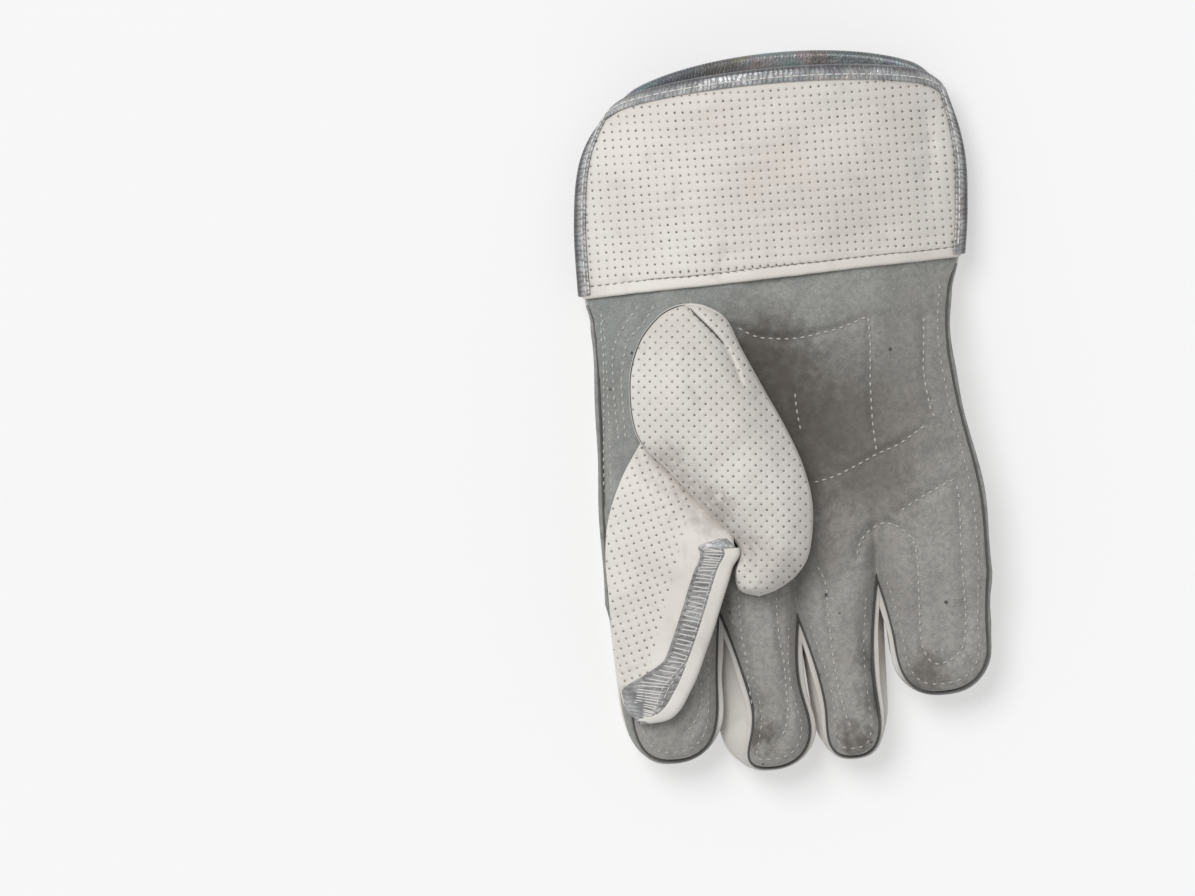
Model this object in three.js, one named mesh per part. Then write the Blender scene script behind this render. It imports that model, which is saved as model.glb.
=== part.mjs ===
// A wicketkeeping glove for the right hand, lying on its back with the palm up.
// Millimetres. X runs from the thumb side to the little finger, Y from the fingertips to the cuff,
// Z up out of the palm. The origin is on the floor below the middle of the glove.
// The glove is sewn from leather panels: a padded back, a thin palm, a cuff front, side walls round the
// fingers, a thumb stall that folds over the palm, and a web between the thumb and the index finger.
import * as THREE from "three";

// Overall sizes.
const GLOVE_WIDTH = 189; // cuff side to the little finger's side
const GLOVE_LENGTH = 323; // cuff rim to the middle fingertip
const HAND_HEIGHT = 46; // arch of the cuff above the back panel's underside
const THUMB_HEIGHT = 34; // crown of the thumb above the palm

// Leather and trim, each with its own thickness.
const BACK_WALL = 3.2; // padded, perforated leather
const PALM_WALL = 1.8;
const CUFF_WALL = 2.4;
const SIDE_WALL = 1.6;
const THUMB_WALL = 3;
const THUMB_INNER_WALL = 1.5;
const WEB_WALL = 1.6;
const BAND_WALL = 0.8;
const BINDING_WALL = 1.1;
const STRIPE_WALL = 1.7;
const BADGE_WALL = 0.9;
const CLEARANCE = 0.3; // between any two pieces
const BINDING_ROOM = 0.45; // inside a folded binding, round the layers that it holds
const DRAPE_ROOM = 0.9; // under the thumb, where it lies on the curved palm

// Widths of the trims.
const BINDING_WIDTH = 4;
const BAND_WIDTH = 16;
const TIP_BAND_WIDTH = 0.16; // share of the finger's length
const PALM_INSET = 3.5; // how far the palm's edge lies inside the back's edge
const BADGE_WIDTH = 67;
const BADGE_HEIGHT = 70;
const BADGE_RIM = 5;
const PATCH_MARGIN = 6; // how far the patch under the badge shows around it

const BACK_LIFT = STRIPE_WALL + CLEARANCE; // the stripe and the badge touch the floor, the panel doesn't

const { lerp, clamp, smoothstep } = THREE.MathUtils;

// A table: the first row names its columns, and each later row is one section or fold.
function table(columns, ...rows) {
  return rows.map((row) => Object.fromEntries(columns.map((name, i) => [name, row[i]])));
}

// One column of a table at a place between its rows, on a smooth curve through them.
function between(rows, column, place) {
  const last = rows.length - 1;
  const start = clamp(Math.floor(place), 0, last - 1);
  const value = (i) => {
    if (i < 0) return 2 * rows[0][column] - rows[1][column];
    if (i > last) return 2 * rows[last][column] - rows[last - 1][column];
    return rows[i][column];
  };
  const [a, b, c, d] = [-1, 0, 1, 2].map((step) => value(start + step));
  const f = place - start;
  const linear = (c - a) / 2;
  const square = a - 2.5 * b + 2 * c - d / 2;
  const cube = (d - a) / 2 + 1.5 * (b - c);
  return b + f * (linear + f * (square + f * cube));
}

// Sections across the cuff and the palm, from the mouth to the knuckles. X is a share of the width and Y
// of the length. Height is the palm side's, edge its height at the sides, lift the back's height there,
// all as shares of the hand's height. Reach is the share of the width over which a side curves down.
const SECTIONS = table(
  ["name", "indexX", "indexY", "littleX", "littleY", "height", "edge", "lift", "reach"],
  ["mouth", -0.418, 0.41, 0.36, 0.452, 1.0, 0.235, 0.15, 0.5],
  ["cuff top", -0.472, 0.34, 0.402, 0.36, 1.0, 0.235, 0.15, 0.5],
  ["cuff", -0.484, 0.256, 0.409, 0.283, 0.98, 0.24, 0.15, 0.5],
  ["seam", -0.474, 0.155, 0.404, 0.214, 0.92, 0.31, 0.14, 0.45],
  ["wrist", -0.461, 0.081, 0.39, 0.116, 0.85, 0.52, 0.12, 0.28],
  ["thumb root", -0.452, -0.03, 0.414, 0.019, 0.8, 0.56, 0.11, 0.17],
  ["palm", -0.445, -0.148, 0.471, -0.114, 0.76, 0.55, 0.1, 0.11],
  ["knuckles", -0.431, -0.272, 0.489, -0.228, 0.74, 0.53, 0.1, 0.09],
);
const SEAM = 3;
const KNUCKLES = SECTIONS.length - 1;

// The fingers. The crotch is the one on the finger's little-finger side. Lean is how far the palm face
// stands inside the back's outline on each side. Round is the share of the length that the tip takes.
const FINGERS = table(
  ["name", "crotchX", "crotchY", "tipX", "tipY", "tipWidth", "round", "leanIndex", "leanLittle", "height"],
  ["index", -0.173, -0.276, -0.268, -0.489, 0.24, 0.42, 0.037, 0.014, 0.7],
  ["middle", 0.025, -0.283, -0.05, -0.499, 0.21, 0.34, 0.062, 0.02, 0.72],
  ["ring", 0.223, -0.228, 0.163, -0.483, 0.167, 0.29, 0.033, 0.03, 0.68],
  ["little", 0.489, -0.228, 0.378, -0.393, 0.234, 0.42, 0.021, 0.015, 0.64],
);
const LEAN_LOW = 1.3; // the lean is greatest nearer the tip
const TIP_HEIGHT = 0.8; // share of the finger's own height that is left near its tip
const TIP_EDGE = 0.42; // the palm face's edge at the tip, a share of the hand's height
const TIP_LIFT = 0.17;
const FINGER_REACH = 0.36; // share of a finger's width over which its side curves down

// Pads and hollows of the palm. Places and radii are shares of the width and length.
const RELIEF = table(
  ["name", "x", "y", "radiusX", "radiusY", "rise"],
  ["heel pad", 0.02, 0.145, 0.16, 0.045, 0.06],
  ["thumb base", -0.3, 0.07, 0.09, 0.09, 0.1],
  ["hollow", 0.06, -0.03, 0.17, 0.08, -0.09],
  ["little mound", 0.33, -0.06, 0.09, 0.1, 0.05],
  ["finger mounds", 0.1, -0.19, 0.3, 0.035, 0.04],
);

// Where the thumb passes through the palm.
const THUMB_HOLE = { x: -0.262, y: 0.045, radiusX: 0.07, radiusY: 0.052 };

// Sections across the thumb from its root to its tip. Crown and brim are heights above the palm.
const THUMB = table(
  ["leftX", "leftY", "rightX", "rightY", "crown", "brim"],
  [-0.228, 0.144, -0.228, 0.144, 0.2, 0.16],
  [-0.265, 0.14, -0.193, 0.14, 0.3, 0.2],
  [-0.307, 0.124, -0.147, 0.123, 0.48, 0.24],
  [-0.35, 0.088, -0.112, 0.083, 0.74, 0.32],
  [-0.37, 0.033, -0.058, 0.026, 0.92, 0.4],
  [-0.352, -0.038, -0.004, -0.03, 1.0, 0.44],
  [-0.281, -0.083, 0.037, -0.083, 1.0, 0.46],
  [-0.197, -0.135, 0.058, -0.137, 0.93, 0.46],
  [-0.112, -0.19, 0.051, -0.197, 0.8, 0.44],
  [-0.118, -0.228, 0.024, -0.228, 0.68, 0.41],
  [-0.108, -0.251, -0.022, -0.249, 0.55, 0.37],
  [-0.066, -0.259, -0.066, -0.259, 0.4, 0.34],
);
const THUMB_INNER_START = 5; // the section where the grey inner face begins, past the hole

// Sections across the web, from its peak on the palm to its end beside the index fingertip. The heights
// of its index edge and of its free edge are shares of the hand's height.
const WEB = table(
  ["indexX", "indexY", "indexZ", "freeX", "freeY", "freeZ"],
  [-0.345, -0.05, 0.82, -0.345, -0.05, 0.84],
  [-0.39, -0.1, 0.76, -0.274, -0.112, 0.92],
  [-0.42, -0.155, 0.68, -0.182, -0.166, 1.0],
  [-0.427, -0.204, 0.58, -0.124, -0.196, 1.06],
  [-0.421, -0.253, 0.48, -0.142, -0.225, 1.03],
  [-0.413, -0.302, 0.4, -0.171, -0.281, 0.97],
  [-0.402, -0.35, 0.37, -0.203, -0.338, 0.89],
  [-0.393, -0.39, 0.39, -0.238, -0.39, 0.82],
  [-0.378, -0.418, 0.48, -0.28, -0.427, 0.75],
  [-0.345, -0.437, 0.6, -0.345, -0.437, 0.65],
);
const WEB_CORNER = 3; // the section at the thumb's tip, where the free edge begins

// The stripe down the back, along its middle line.
const STRIPE = table(
  ["x", "y", "width"],
  [0.156, 0.462, 0.095],
  [0.112, 0.253, 0.093],
  [0.065, 0.02, 0.088],
  [0.002, -0.2, 0.08],
  [-0.068, -0.382, 0.055],
);
const BADGE_PLACE = { x: -0.167, y: 0.285 };

// The rim of the cuff arches towards the wearer's arm, the front less than the back.
const RIM_RISE = { back: 0.057, palm: 0.037 };

const CROTCH_START = KNUCKLES - 1; // from here on the valleys between the fingers deepen

// Height of the pads and hollows at a point of the palm.
function relief(x, y) {
  return RELIEF.reduce((sum, pad) => {
    const a = (x / GLOVE_WIDTH - pad.x) / pad.radiusX;
    const b = (y / GLOVE_LENGTH - pad.y) / pad.radiusY;
    return sum + pad.rise * HAND_HEIGHT * Math.exp(-a * a - b * b);
  }, 0);
}

// How near a point is to a side: 1 on the edge, falling to 0 over the reach.
const nearness = (distance, reach) => Math.max(0, 1 - distance / reach) ** 2.4;

// A point of the cuff or the palm, across it from 0 at the index side to 1 at the little finger's side.
function bodyPoint(side, across, place) {
  const at = (column) => between(SECTIONS, column, place);
  const inset = side === "palm" ? PALM_INSET * smoothstep(place, SEAM, SEAM + 0.5) : 0;
  let x = lerp(at("indexX") * GLOVE_WIDTH + inset, at("littleX") * GLOVE_WIDTH - inset, across);
  let y = lerp(at("indexY"), at("littleY"), across) * GLOVE_LENGTH;
  const arch = (1 - (2 * across - 1) ** 2) ** 0.6;
  y += RIM_RISE[side] * GLOVE_LENGTH * arch * Math.max(0, 1 - place / SEAM) ** 1.5;

  // The rows bend until the last one passes through the crotches.
  const bend = smoothstep(place, SEAM + 1, KNUCKLES);
  const ray = across * FINGERS.length;
  const k = clamp(Math.floor(ray), 0, FINGERS.length - 1);
  const [a, b] = [k, k + 1].map((edge) => crotchShift(edge));
  x += bend * lerp(a.x, b.x, ray - k);
  y += bend * lerp(a.y, b.y, ray - k);

  let open = 1 - nearness(Math.min(across, 1 - across), at("reach"));
  const parting = smoothstep(place, CROTCH_START, KNUCKLES);
  for (const edge of [1, 2, 3]) open *= 1 - parting * nearness(Math.abs(ray - edge), FINGER_REACH);
  return { x, y, open, height: at("height"), edge: at("edge"), lift: at("lift") };
}

// How far the crotch lies from where an even division of the knuckle row would put it.
function crotchShift(edge) {
  if (edge === 0 || edge === FINGERS.length) return { x: 0, y: 0 };
  const row = SECTIONS[KNUCKLES];
  const crotch = FINGERS[edge - 1];
  const f = edge / FINGERS.length;
  return {
    x: (crotch.crotchX - lerp(row.indexX, row.littleX, f)) * GLOVE_WIDTH,
    y: (crotch.crotchY - lerp(row.indexY, row.littleY, f)) * GLOVE_LENGTH,
  };
}

// A point of one finger: u across it, t from the crotches to the tip.
function fingerPoint(side, k, u, t) {
  const finger = FINGERS[k];
  const [left, right] = [k, k + 1].map((edge) => bodyPoint(side, edge / FINGERS.length, KNUCKLES));
  const tip = { x: finger.tipX * GLOVE_WIDTH, y: finger.tipY * GLOVE_LENGTH };
  const axis = new THREE.Vector2(tip.x - (left.x + right.x) / 2, tip.y - (left.y + right.y) / 2).normalize();
  const half = (finger.tipWidth * GLOVE_WIDTH) / 2;
  const corner = (sign) => ({ x: tip.x - sign * half * axis.y, y: tip.y + sign * half * axis.x });
  const lean = side === "palm" ? Math.sin(Math.PI * t ** LEAN_LOW) ** 0.7 * GLOVE_WIDTH : 0;
  const ends = [
    { x: lerp(left.x, corner(-1).x, t) + lean * finger.leanIndex, y: lerp(left.y, corner(-1).y, t) },
    { x: lerp(right.x, corner(1).x, t) - lean * finger.leanLittle, y: lerp(right.y, corner(1).y, t) },
  ];
  const q = Math.max(0, (t - (1 - finger.round)) / finger.round);
  const round = q > 0.9999 ? 0 : (1 - q ** 2.3) ** (1 / 2.3);
  const across = 0.5 + (u - 0.5) * round;
  const open = (1 - nearness(u, FINGER_REACH)) * (1 - nearness(1 - u, FINGER_REACH)) * Math.sqrt(round);
  const last = SECTIONS[KNUCKLES];
  return {
    x: lerp(ends[0].x, ends[1].x, across),
    y: lerp(ends[0].y, ends[1].y, across),
    open,
    height: lerp(lerp(last.height, finger.height, smoothstep(t, 0, 0.4)), finger.height * TIP_HEIGHT, t * t),
    edge: lerp(last.edge, TIP_EDGE, t),
    lift: lerp(last.lift, TIP_LIFT, t),
  };
}

// A point of the back's underside or of the palm's upper side. A station up to KNUCKLES is a section of
// the hand, and past it the share of a finger's length.
function handPoint(side, k, u, station) {
  const p =
    station <= KNUCKLES
      ? bodyPoint(side, (k + u) / FINGERS.length, station)
      : fingerPoint(side, k, u, station - KNUCKLES);
  if (side === "back") return new THREE.Vector3(p.x, p.y, BACK_LIFT + p.lift * HAND_HEIGHT * (1 - p.open));
  const z = lerp(p.edge, p.height, p.open) * HAND_HEIGHT + relief(p.x, p.y) * p.open;
  return new THREE.Vector3(p.x, p.y, BACK_LIFT + z);
}

// An open surface from rows of points: shared points are joined, and a row may shrink to one point.
class Surface {
  constructor() {
    this.points = [];
    this.triangles = [];
    this.found = new Map();
  }
  key(p) {
    return [p.x, p.y, p.z].map((c) => Math.round(c * 500)).join(" ");
  }
  add(p) {
    const key = this.key(p);
    if (!this.found.has(key)) this.found.set(key, this.points.push(p) - 1);
    return this.found.get(key);
  }
  triangle(...corners) {
    if (new Set(corners).size === 3) this.triangles.push(corners);
  }
  // Rows run one way and their points the other, so that the normals point up.
  grid(rows, keep = () => true) {
    for (let i = 0; i + 1 < rows.length; i++) {
      for (let j = 0; j + 1 < rows[i].length; j++) {
        const corners = [rows[i][j], rows[i + 1][j], rows[i + 1][j + 1], rows[i][j + 1]];
        const middle = corners.reduce((sum, p) => sum.add(p), new THREE.Vector3()).divideScalar(4);
        if (!keep(middle)) continue;
        const [a, b, c, d] = corners.map((p) => this.add(p));
        this.triangle(a, b, c);
        this.triangle(a, c, d);
      }
    }
    return this;
  }
  normals() {
    const sums = this.points.map(() => new THREE.Vector3());
    for (const corners of this.triangles) {
      const [a, b, c] = corners.map((i) => this.points[i]);
      const area = b.clone().sub(a).cross(c.clone().sub(a));
      corners.forEach((i) => sums[i].add(area));
    }
    return sums.map((n) => n.normalize());
  }
  // The point of the surface at p, moved along the surface's normal.
  offset(p, distance) {
    this.cached ??= this.normals();
    return p.clone().addScaledVector(this.cached[this.found.get(this.key(p))], distance);
  }
  // A closed solid between two distances from the surface.
  thicken(low, high) {
    this.cached ??= this.normals();
    const at = (distance) => this.points.map((p, i) => p.clone().addScaledVector(this.cached[i], distance));
    const n = this.points.length;
    const faces = this.triangles.flatMap(([a, b, c]) => [
      [a + n, b + n, c + n],
      [a, c, b],
    ]);
    const directed = new Set(this.triangles.flatMap(([a, b, c]) => [`${a} ${b}`, `${b} ${c}`, `${c} ${a}`]));
    for (const edge of directed) {
      const [a, b] = edge.split(" ").map(Number);
      if (directed.has(`${b} ${a}`)) continue;
      faces.push([b + n, a + n, a], [b + n, a, b]);
    }
    return geometryOf([...at(low), ...at(high)], faces);
  }
}

// A mesh's geometry from points and triangles, its faces turned outwards.
function geometryOf(points, faces) {
  const volume = faces.reduce((sum, [a, b, c]) => {
    return sum + points[a].dot(points[b].clone().cross(points[c]));
  }, 0);
  const outward = volume < 0 ? faces.map(([a, b, c]) => [a, c, b]) : faces;
  const geometry = new THREE.BufferGeometry();
  geometry.setAttribute("position", new THREE.Float32BufferAttribute(points.flatMap((p) => p.toArray()), 3));
  geometry.setIndex(outward.flat());
  geometry.computeVertexNormals();
  return geometry;
}

// A solid swept through rings of points, with flat ends or closed on itself.
function sweep(rings, closed = false) {
  const size = rings[0].length;
  const faces = [];
  const steps = closed ? rings.length : rings.length - 1;
  for (let i = 0; i < steps; i++) {
    const [from, to] = [i * size, ((i + 1) % rings.length) * size];
    for (let j = 0; j < size; j++) {
      const next = (j + 1) % size;
      faces.push([from + j, from + next, to + next], [from + j, to + next, to + j]);
    }
  }
  if (!closed) {
    const start = (rings.length - 1) * size;
    for (const [a, b, c] of capTriangles(rings[0])) faces.push([c, b, a]);
    for (const [a, b, c] of capTriangles(rings.at(-1))) faces.push([start + a, start + b, start + c]);
  }
  return geometryOf(rings.flat(), faces);
}

// Triangles that fill one flat ring, which need not be convex.
function capTriangles(ring) {
  const x = ring[1].clone().sub(ring[0]).normalize();
  const normal = new THREE.Vector3();
  ring.forEach((p, i) => normal.add(p.clone().cross(ring[(i + 1) % ring.length])));
  const y = normal.normalize().clone().cross(x);
  return THREE.ShapeUtils.triangulateShape(
    ring.map((p) => new THREE.Vector2(p.dot(x), p.dot(y))),
    [],
  );
}

// Stations and shares at which the panels are divided.
const steps = (from, to, count) => Array.from({ length: count + 1 }, (_, i) => lerp(from, to, i / count));
const ACROSS = [0, 0.09, 0.33, 0.67, 0.91, 1];
const OVERLAP = 0.2; // how far the cuff front and the palm lie over each other at the seam, in sections
const RIM_ROW = 0.16; // the row where the rim's binding ends
const UPPER_ROWS = [0, ...steps(RIM_ROW, SEAM - OVERLAP, 6)];
const CUFF_ROWS = [...UPPER_ROWS, SEAM];
const PALM_ROWS = [SEAM - OVERLAP, SEAM, SEAM + 0.15, ...steps(SEAM + 0.4, KNUCKLES, 11)];
const BODY_ROWS = [...UPPER_ROWS, ...PALM_ROWS.slice(1)];

function fingerRows(k) {
  const start = 1 - FINGERS[k].round;
  const straight = steps(0, start, 4).slice(1);
  const arc = steps(0, 1, 5).slice(1);
  return [...straight, ...arc.map((f) => start + FINGERS[k].round * Math.sin((f * Math.PI) / 2))].map(
    (t) => KNUCKLES + t,
  );
}

const rowsOf = (side, k, stations) => stations.map((s) => ACROSS.map((u) => handPoint(side, k, u, s)));
const fingers = FINGERS.map((_, k) => k);

// Panels.
const inHole = (p) => {
  const a = (p.x / GLOVE_WIDTH - THUMB_HOLE.x) / THUMB_HOLE.radiusX;
  const b = (p.y / GLOVE_LENGTH - THUMB_HOLE.y) / THUMB_HOLE.radiusY;
  return a * a + b * b < 1;
};
const backSurface = new Surface();
const palmSurface = new Surface();
const wholePalm = new Surface();
const cuffSurface = new Surface();
for (const k of fingers) {
  backSurface.grid(rowsOf("back", k, [...BODY_ROWS, ...fingerRows(k)]));
  const palmRows = rowsOf("palm", k, [...PALM_ROWS, ...fingerRows(k)]);
  palmSurface.grid(palmRows, (p) => !inHole(p));
  wholePalm.grid(palmRows);
  cuffSurface.grid(rowsOf("palm", k, CUFF_ROWS));
}

// Unit vectors that point to the left of a path, level with the floor.
function leftOf(path, closed = false) {
  return path.map((_, i) => {
    const ends = closed
      ? [path.at(i - 1), path[(i + 1) % path.length]]
      : [path[Math.max(0, i - 1)], path[Math.min(path.length - 1, i + 1)]];
    const along = ends[1].clone().sub(ends[0]);
    return new THREE.Vector3(-along.y, along.x, 0).normalize();
  });
}

// The wall round one finger, from its index side round the tip to its little-finger side. The outermost
// walls also run up the side of the hand to the cuff.
function sideWall(k) {
  const hand = PALM_ROWS.slice(2);
  const up = k === 0 ? hand : [KNUCKLES];
  const down = k === FINGERS.length - 1 ? hand : [KNUCKLES];
  const rows = fingerRows(k);
  const route = [
    ...[...up, ...rows].map((station) => [0, station]),
    ...[...down, ...rows.slice(0, -1)].reverse().map((station) => [1, station]),
  ];
  const rise = new THREE.Vector3(0, 0, CLEARANCE);
  const low = route.map(([u, s]) => backSurface.offset(handPoint("back", k, u, s), BACK_WALL).add(rise));
  const high = route.map(([u, s]) => palmSurface.offset(handPoint("palm", k, u, s), -PALM_WALL).sub(rise));
  const inward = leftOf(low);
  return sweep(
    low.map((p, i) => {
      const at = (from, depth) => from.clone().addScaledVector(inward[i], depth);
      return [
        at(p, CLEARANCE),
        at(p, CLEARANCE + SIDE_WALL),
        at(high[i], CLEARANCE + SIDE_WALL),
        at(high[i], CLEARANCE),
      ];
    }),
  );
}

// The upper side of what lies below a point, or near it, so that a faceted piece can lie on it.
function restingOn(near, ...geometries) {
  const meshes = geometries.map((g) => new THREE.Mesh(g));
  const down = new THREE.Vector3(0, 0, -1);
  const places = [[0, 0], [1, 0], [0, 1], [-1, 0], [0, -1]];
  return (x, y) => {
    const heights = places.map(([a, b]) => {
      const from = new THREE.Vector3(x + a * near, y + b * near, 4 * HAND_HEIGHT);
      const [hit] = new THREE.Raycaster(from, down).intersectObjects(meshes);
      return hit ? hit.point.z : -Infinity;
    });
    return Math.max(...heights);
  };
}

const backPanel = backSurface.thicken(0, BACK_WALL);
const palmPanel = palmSurface.thicken(-PALM_WALL, 0);
const cuffFront = cuffSurface.thicken(CLEARANCE, CLEARANCE + CUFF_WALL);
const walls = fingers.map(sideWall);
const palmTop = restingOn(2.5, wholePalm.thicken(-PALM_WALL, 0));

// Thumb.
const THUMB_ACROSS = [0, 0.06, 0.2, 0.4, 0.6, 0.8, 0.94, 1];
const THUMB_END = THUMB.length - 1;
const TIP_ROWS = [1.4, 1, 0.3, 0].map((left) => THUMB_END - left);
const THUMB_ROWS = [0, 0.3, ...steps(1, THUMB_END - 2, 12), ...TIP_ROWS];
function thumbPoint(u, place) {
  const at = (column) => between(THUMB, column, place);
  const x = lerp(at("leftX"), at("rightX"), u) * GLOVE_WIDTH;
  const y = lerp(at("leftY"), at("rightY"), u) * GLOVE_LENGTH;
  const ends = Math.min(1, place, THUMB_END - place) ** 0.5;
  const open = (1 - nearness(Math.min(u, 1 - u), 0.5)) * ends;
  return new THREE.Vector3(x, y, palmTop(x, y) + lerp(at("brim"), at("crown"), open) * THUMB_HEIGHT);
}
const thumbSurface = new Surface().grid(
  THUMB_ROWS.map((place) => THUMB_ACROSS.map((u) => thumbPoint(u, place))),
);
const thumbBack = thumbSurface.thicken(-THUMB_WALL, 0);

const innerPoint = (u, place) => {
  const p = thumbPoint(u, place);
  return p.setZ(palmTop(p.x, p.y) + DRAPE_ROOM);
};
const INNER_ROWS = THUMB_ROWS.filter((place) => place >= THUMB_INNER_START);
const innerSurface = new Surface().grid(
  INNER_ROWS.map((place) => THUMB_ACROSS.map((u) => innerPoint(u, place))),
);
const thumbInner = innerSurface.thicken(0, THUMB_INNER_WALL);

function thumbWall() {
  const route = [
    ...THUMB_ROWS.map((place) => [0, place]),
    ...THUMB_ROWS.slice(1, -1).reverse().map((place) => [1, place]),
  ];
  const high = route.map(([u, place]) => thumbSurface.offset(thumbPoint(u, place), -THUMB_WALL));
  const inward = leftOf(high, true);
  return sweep(
    high.map((top, i) => {
      const [u, place] = route[i];
      const edge = thumbPoint(u, place);
      const under = place >= INNER_ROWS[0] ? THUMB_INNER_WALL + 2 * CLEARANCE : 0;
      const foot = (depth) => {
        const p = edge.clone().addScaledVector(inward[i], depth);
        return p.setZ(palmTop(p.x, p.y) + DRAPE_ROOM + under);
      };
      const head = (depth) => top.clone().addScaledVector(inward[i], depth).setZ(top.z - CLEARANCE);
      const [outer, inner] = [CLEARANCE, CLEARANCE + SIDE_WALL];
      return [foot(outer), foot(inner), head(inner), head(outer)];
    }),
    true,
  );
}

// Web.
const handTop = restingOn(3, wholePalm.thicken(-PALM_WALL, 0), walls[0], backPanel);
const WEB_ROWS = [0, 0.2, 0.5, ...steps(1, 8, 14), 8.5, 8.85, 9];
const WEB_ACROSS = [0, 0.12, 0.25, 0.45, 0.7, 1]; // shares of the web that the band leaves bare
const WEB_DRAPE = WEB_WALL / 2 + CLEARANCE; // from the hand's surface to the web's middle
function webPoint(u, place) {
  const at = (column) => between(WEB, column, place);
  const x = lerp(at("indexX"), at("freeX"), u) * GLOVE_WIDTH;
  const y = lerp(at("indexY"), at("freeY"), u) * GLOVE_LENGTH;
  const stretched = BACK_LIFT + HAND_HEIGHT * lerp(at("indexZ"), at("freeZ"), 1 - (1 - u) ** 2.2);
  return new THREE.Vector3(x, y, Math.max(stretched, handTop(x, y) + WEB_DRAPE));
}
function webRow(place) {
  const width = webPoint(1, place).distanceTo(webPoint(0, place));
  const band = Math.min(0.85, BAND_WIDTH / Math.max(width, 1));
  const edge = (band * BINDING_WIDTH) / BAND_WIDTH;
  return [...WEB_ACROSS.map((u) => u * (1 - band)), 1 - edge, 1].map((u) => webPoint(u, place));
}
const webSurface = new Surface().grid(WEB_ROWS.map(webRow));
const web = webSurface.thicken(-WEB_WALL / 2, WEB_WALL / 2);

// The film band along the web's free edge, on its upper side.
const BAND_ROWS = WEB_ROWS.filter((place) => place >= WEB_CORNER - 0.5);
const bandSurface = new Surface().grid(BAND_ROWS.map((place) => webRow(place).slice(-3)));
const webBand = bandSurface.thicken(WEB_WALL / 2 + CLEARANCE, WEB_WALL / 2 + CLEARANCE + BAND_WALL);

// A folded binding round the edge of one or two layers. The lower and the upper layer each give their
// surface, the distance from it to the layers' outer face, and the points along the edge and inside it.
function binding(lower, upper) {
  const rings = lower.edge.map((_, i) => {
    const corner = ({ surface, face, edge, inside }, sign, beyond, past) => {
      const outward = edge[i].clone().sub(inside[i]).normalize();
      const place = past === undefined ? inside[i] : edge[i];
      return surface.offset(place, face + sign * beyond).addScaledVector(outward, past ?? 0);
    };
    const [slot, skin] = [BINDING_ROOM, BINDING_ROOM + BINDING_WALL];
    return [
      corner(lower, -1, skin),
      corner(lower, -1, skin, skin),
      corner(upper, 1, skin, skin),
      corner(upper, 1, skin),
      corner(upper, 1, slot),
      corner(upper, 1, slot, slot),
      corner(lower, -1, slot, slot),
      corner(lower, -1, slot),
    ];
  });
  // Each end stops short of the next binding.
  for (const [end, next] of [[0, 1], [-1, -2]]) {
    const along = lower.edge.at(next).clone().sub(lower.edge.at(end)).setLength(CLEARANCE);
    rings.at(end).forEach((p) => p.add(along));
  }
  return sweep(rings);
}

function webBinding() {
  const rows = BAND_ROWS.filter((place) => place >= WEB_CORNER).slice(0, -2).map(webRow);
  const line = { edge: rows.map((row) => row.at(-1)), inside: rows.map((row) => row.at(-2)) };
  return binding(
    { surface: webSurface, face: -WEB_WALL / 2, ...line },
    { surface: bandSurface, face: WEB_WALL / 2 + CLEARANCE + BAND_WALL, ...line },
  );
}

// Bindings of the cuff: one on the rim of each layer, and one down each side round both layers.
function rimBinding(side, surface, low, high) {
  const stops = fingers.flatMap((k) => ACROSS.slice(1).map((u) => [k, u])).slice(0, -1);
  const line = {
    surface,
    edge: stops.map(([k, u]) => handPoint(side, k, u, 0)),
    inside: stops.map(([k, u]) => handPoint(side, k, u, RIM_ROW)),
  };
  return binding({ ...line, face: low }, { ...line, face: high });
}

function sideBinding(k, edge, inside) {
  const line = (side, surface, face) => ({
    surface,
    face,
    edge: CUFF_ROWS.map((station) => handPoint(side, k, edge, station)),
    inside: CUFF_ROWS.map((station) => handPoint(side, k, inside, station)),
  });
  return binding(line("back", backSurface, 0), line("palm", cuffSurface, CLEARANCE + CUFF_WALL));
}

// Trims of the back. The stripe and the badge lie flat under the panel.
function flatSheet(rows, low, high) {
  return new Surface().grid(rows).thicken(low, high);
}

function backStripe() {
  const rows = steps(0, STRIPE.length - 1, 16).map((place) => {
    const at = (column) => between(STRIPE, column, place) * GLOVE_WIDTH;
    const y = between(STRIPE, "y", place) * GLOVE_LENGTH;
    return [-0.5, 0.5].map((share) => new THREE.Vector3(at("x") + share * at("width"), y, 0));
  });
  return flatSheet(rows, 0, STRIPE_WALL);
}

// A shield with an arched top and sides that curve to a point below.
function shield(width, height) {
  const [half, top] = [width / 2, height * 0.39];
  const shape = new THREE.Shape();
  shape.moveTo(-half, top);
  shape.bezierCurveTo(-half * 1.1, -height * 0.2, -half * 0.8, -height * 0.34, 0, -height * 0.5);
  shape.bezierCurveTo(half * 0.8, -height * 0.34, half * 1.1, -height * 0.2, half, top);
  shape.quadraticCurveTo(0, height * 0.62, -half, top);
  return shape;
}

function extruded(shape, low, high) {
  const geometry = new THREE.ExtrudeGeometry(shape, {
    depth: high - low,
    bevelEnabled: false,
    curveSegments: 8,
  });
  return geometry.translate(BADGE_PLACE.x * GLOVE_WIDTH, BADGE_PLACE.y * GLOVE_LENGTH, low);
}

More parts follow.
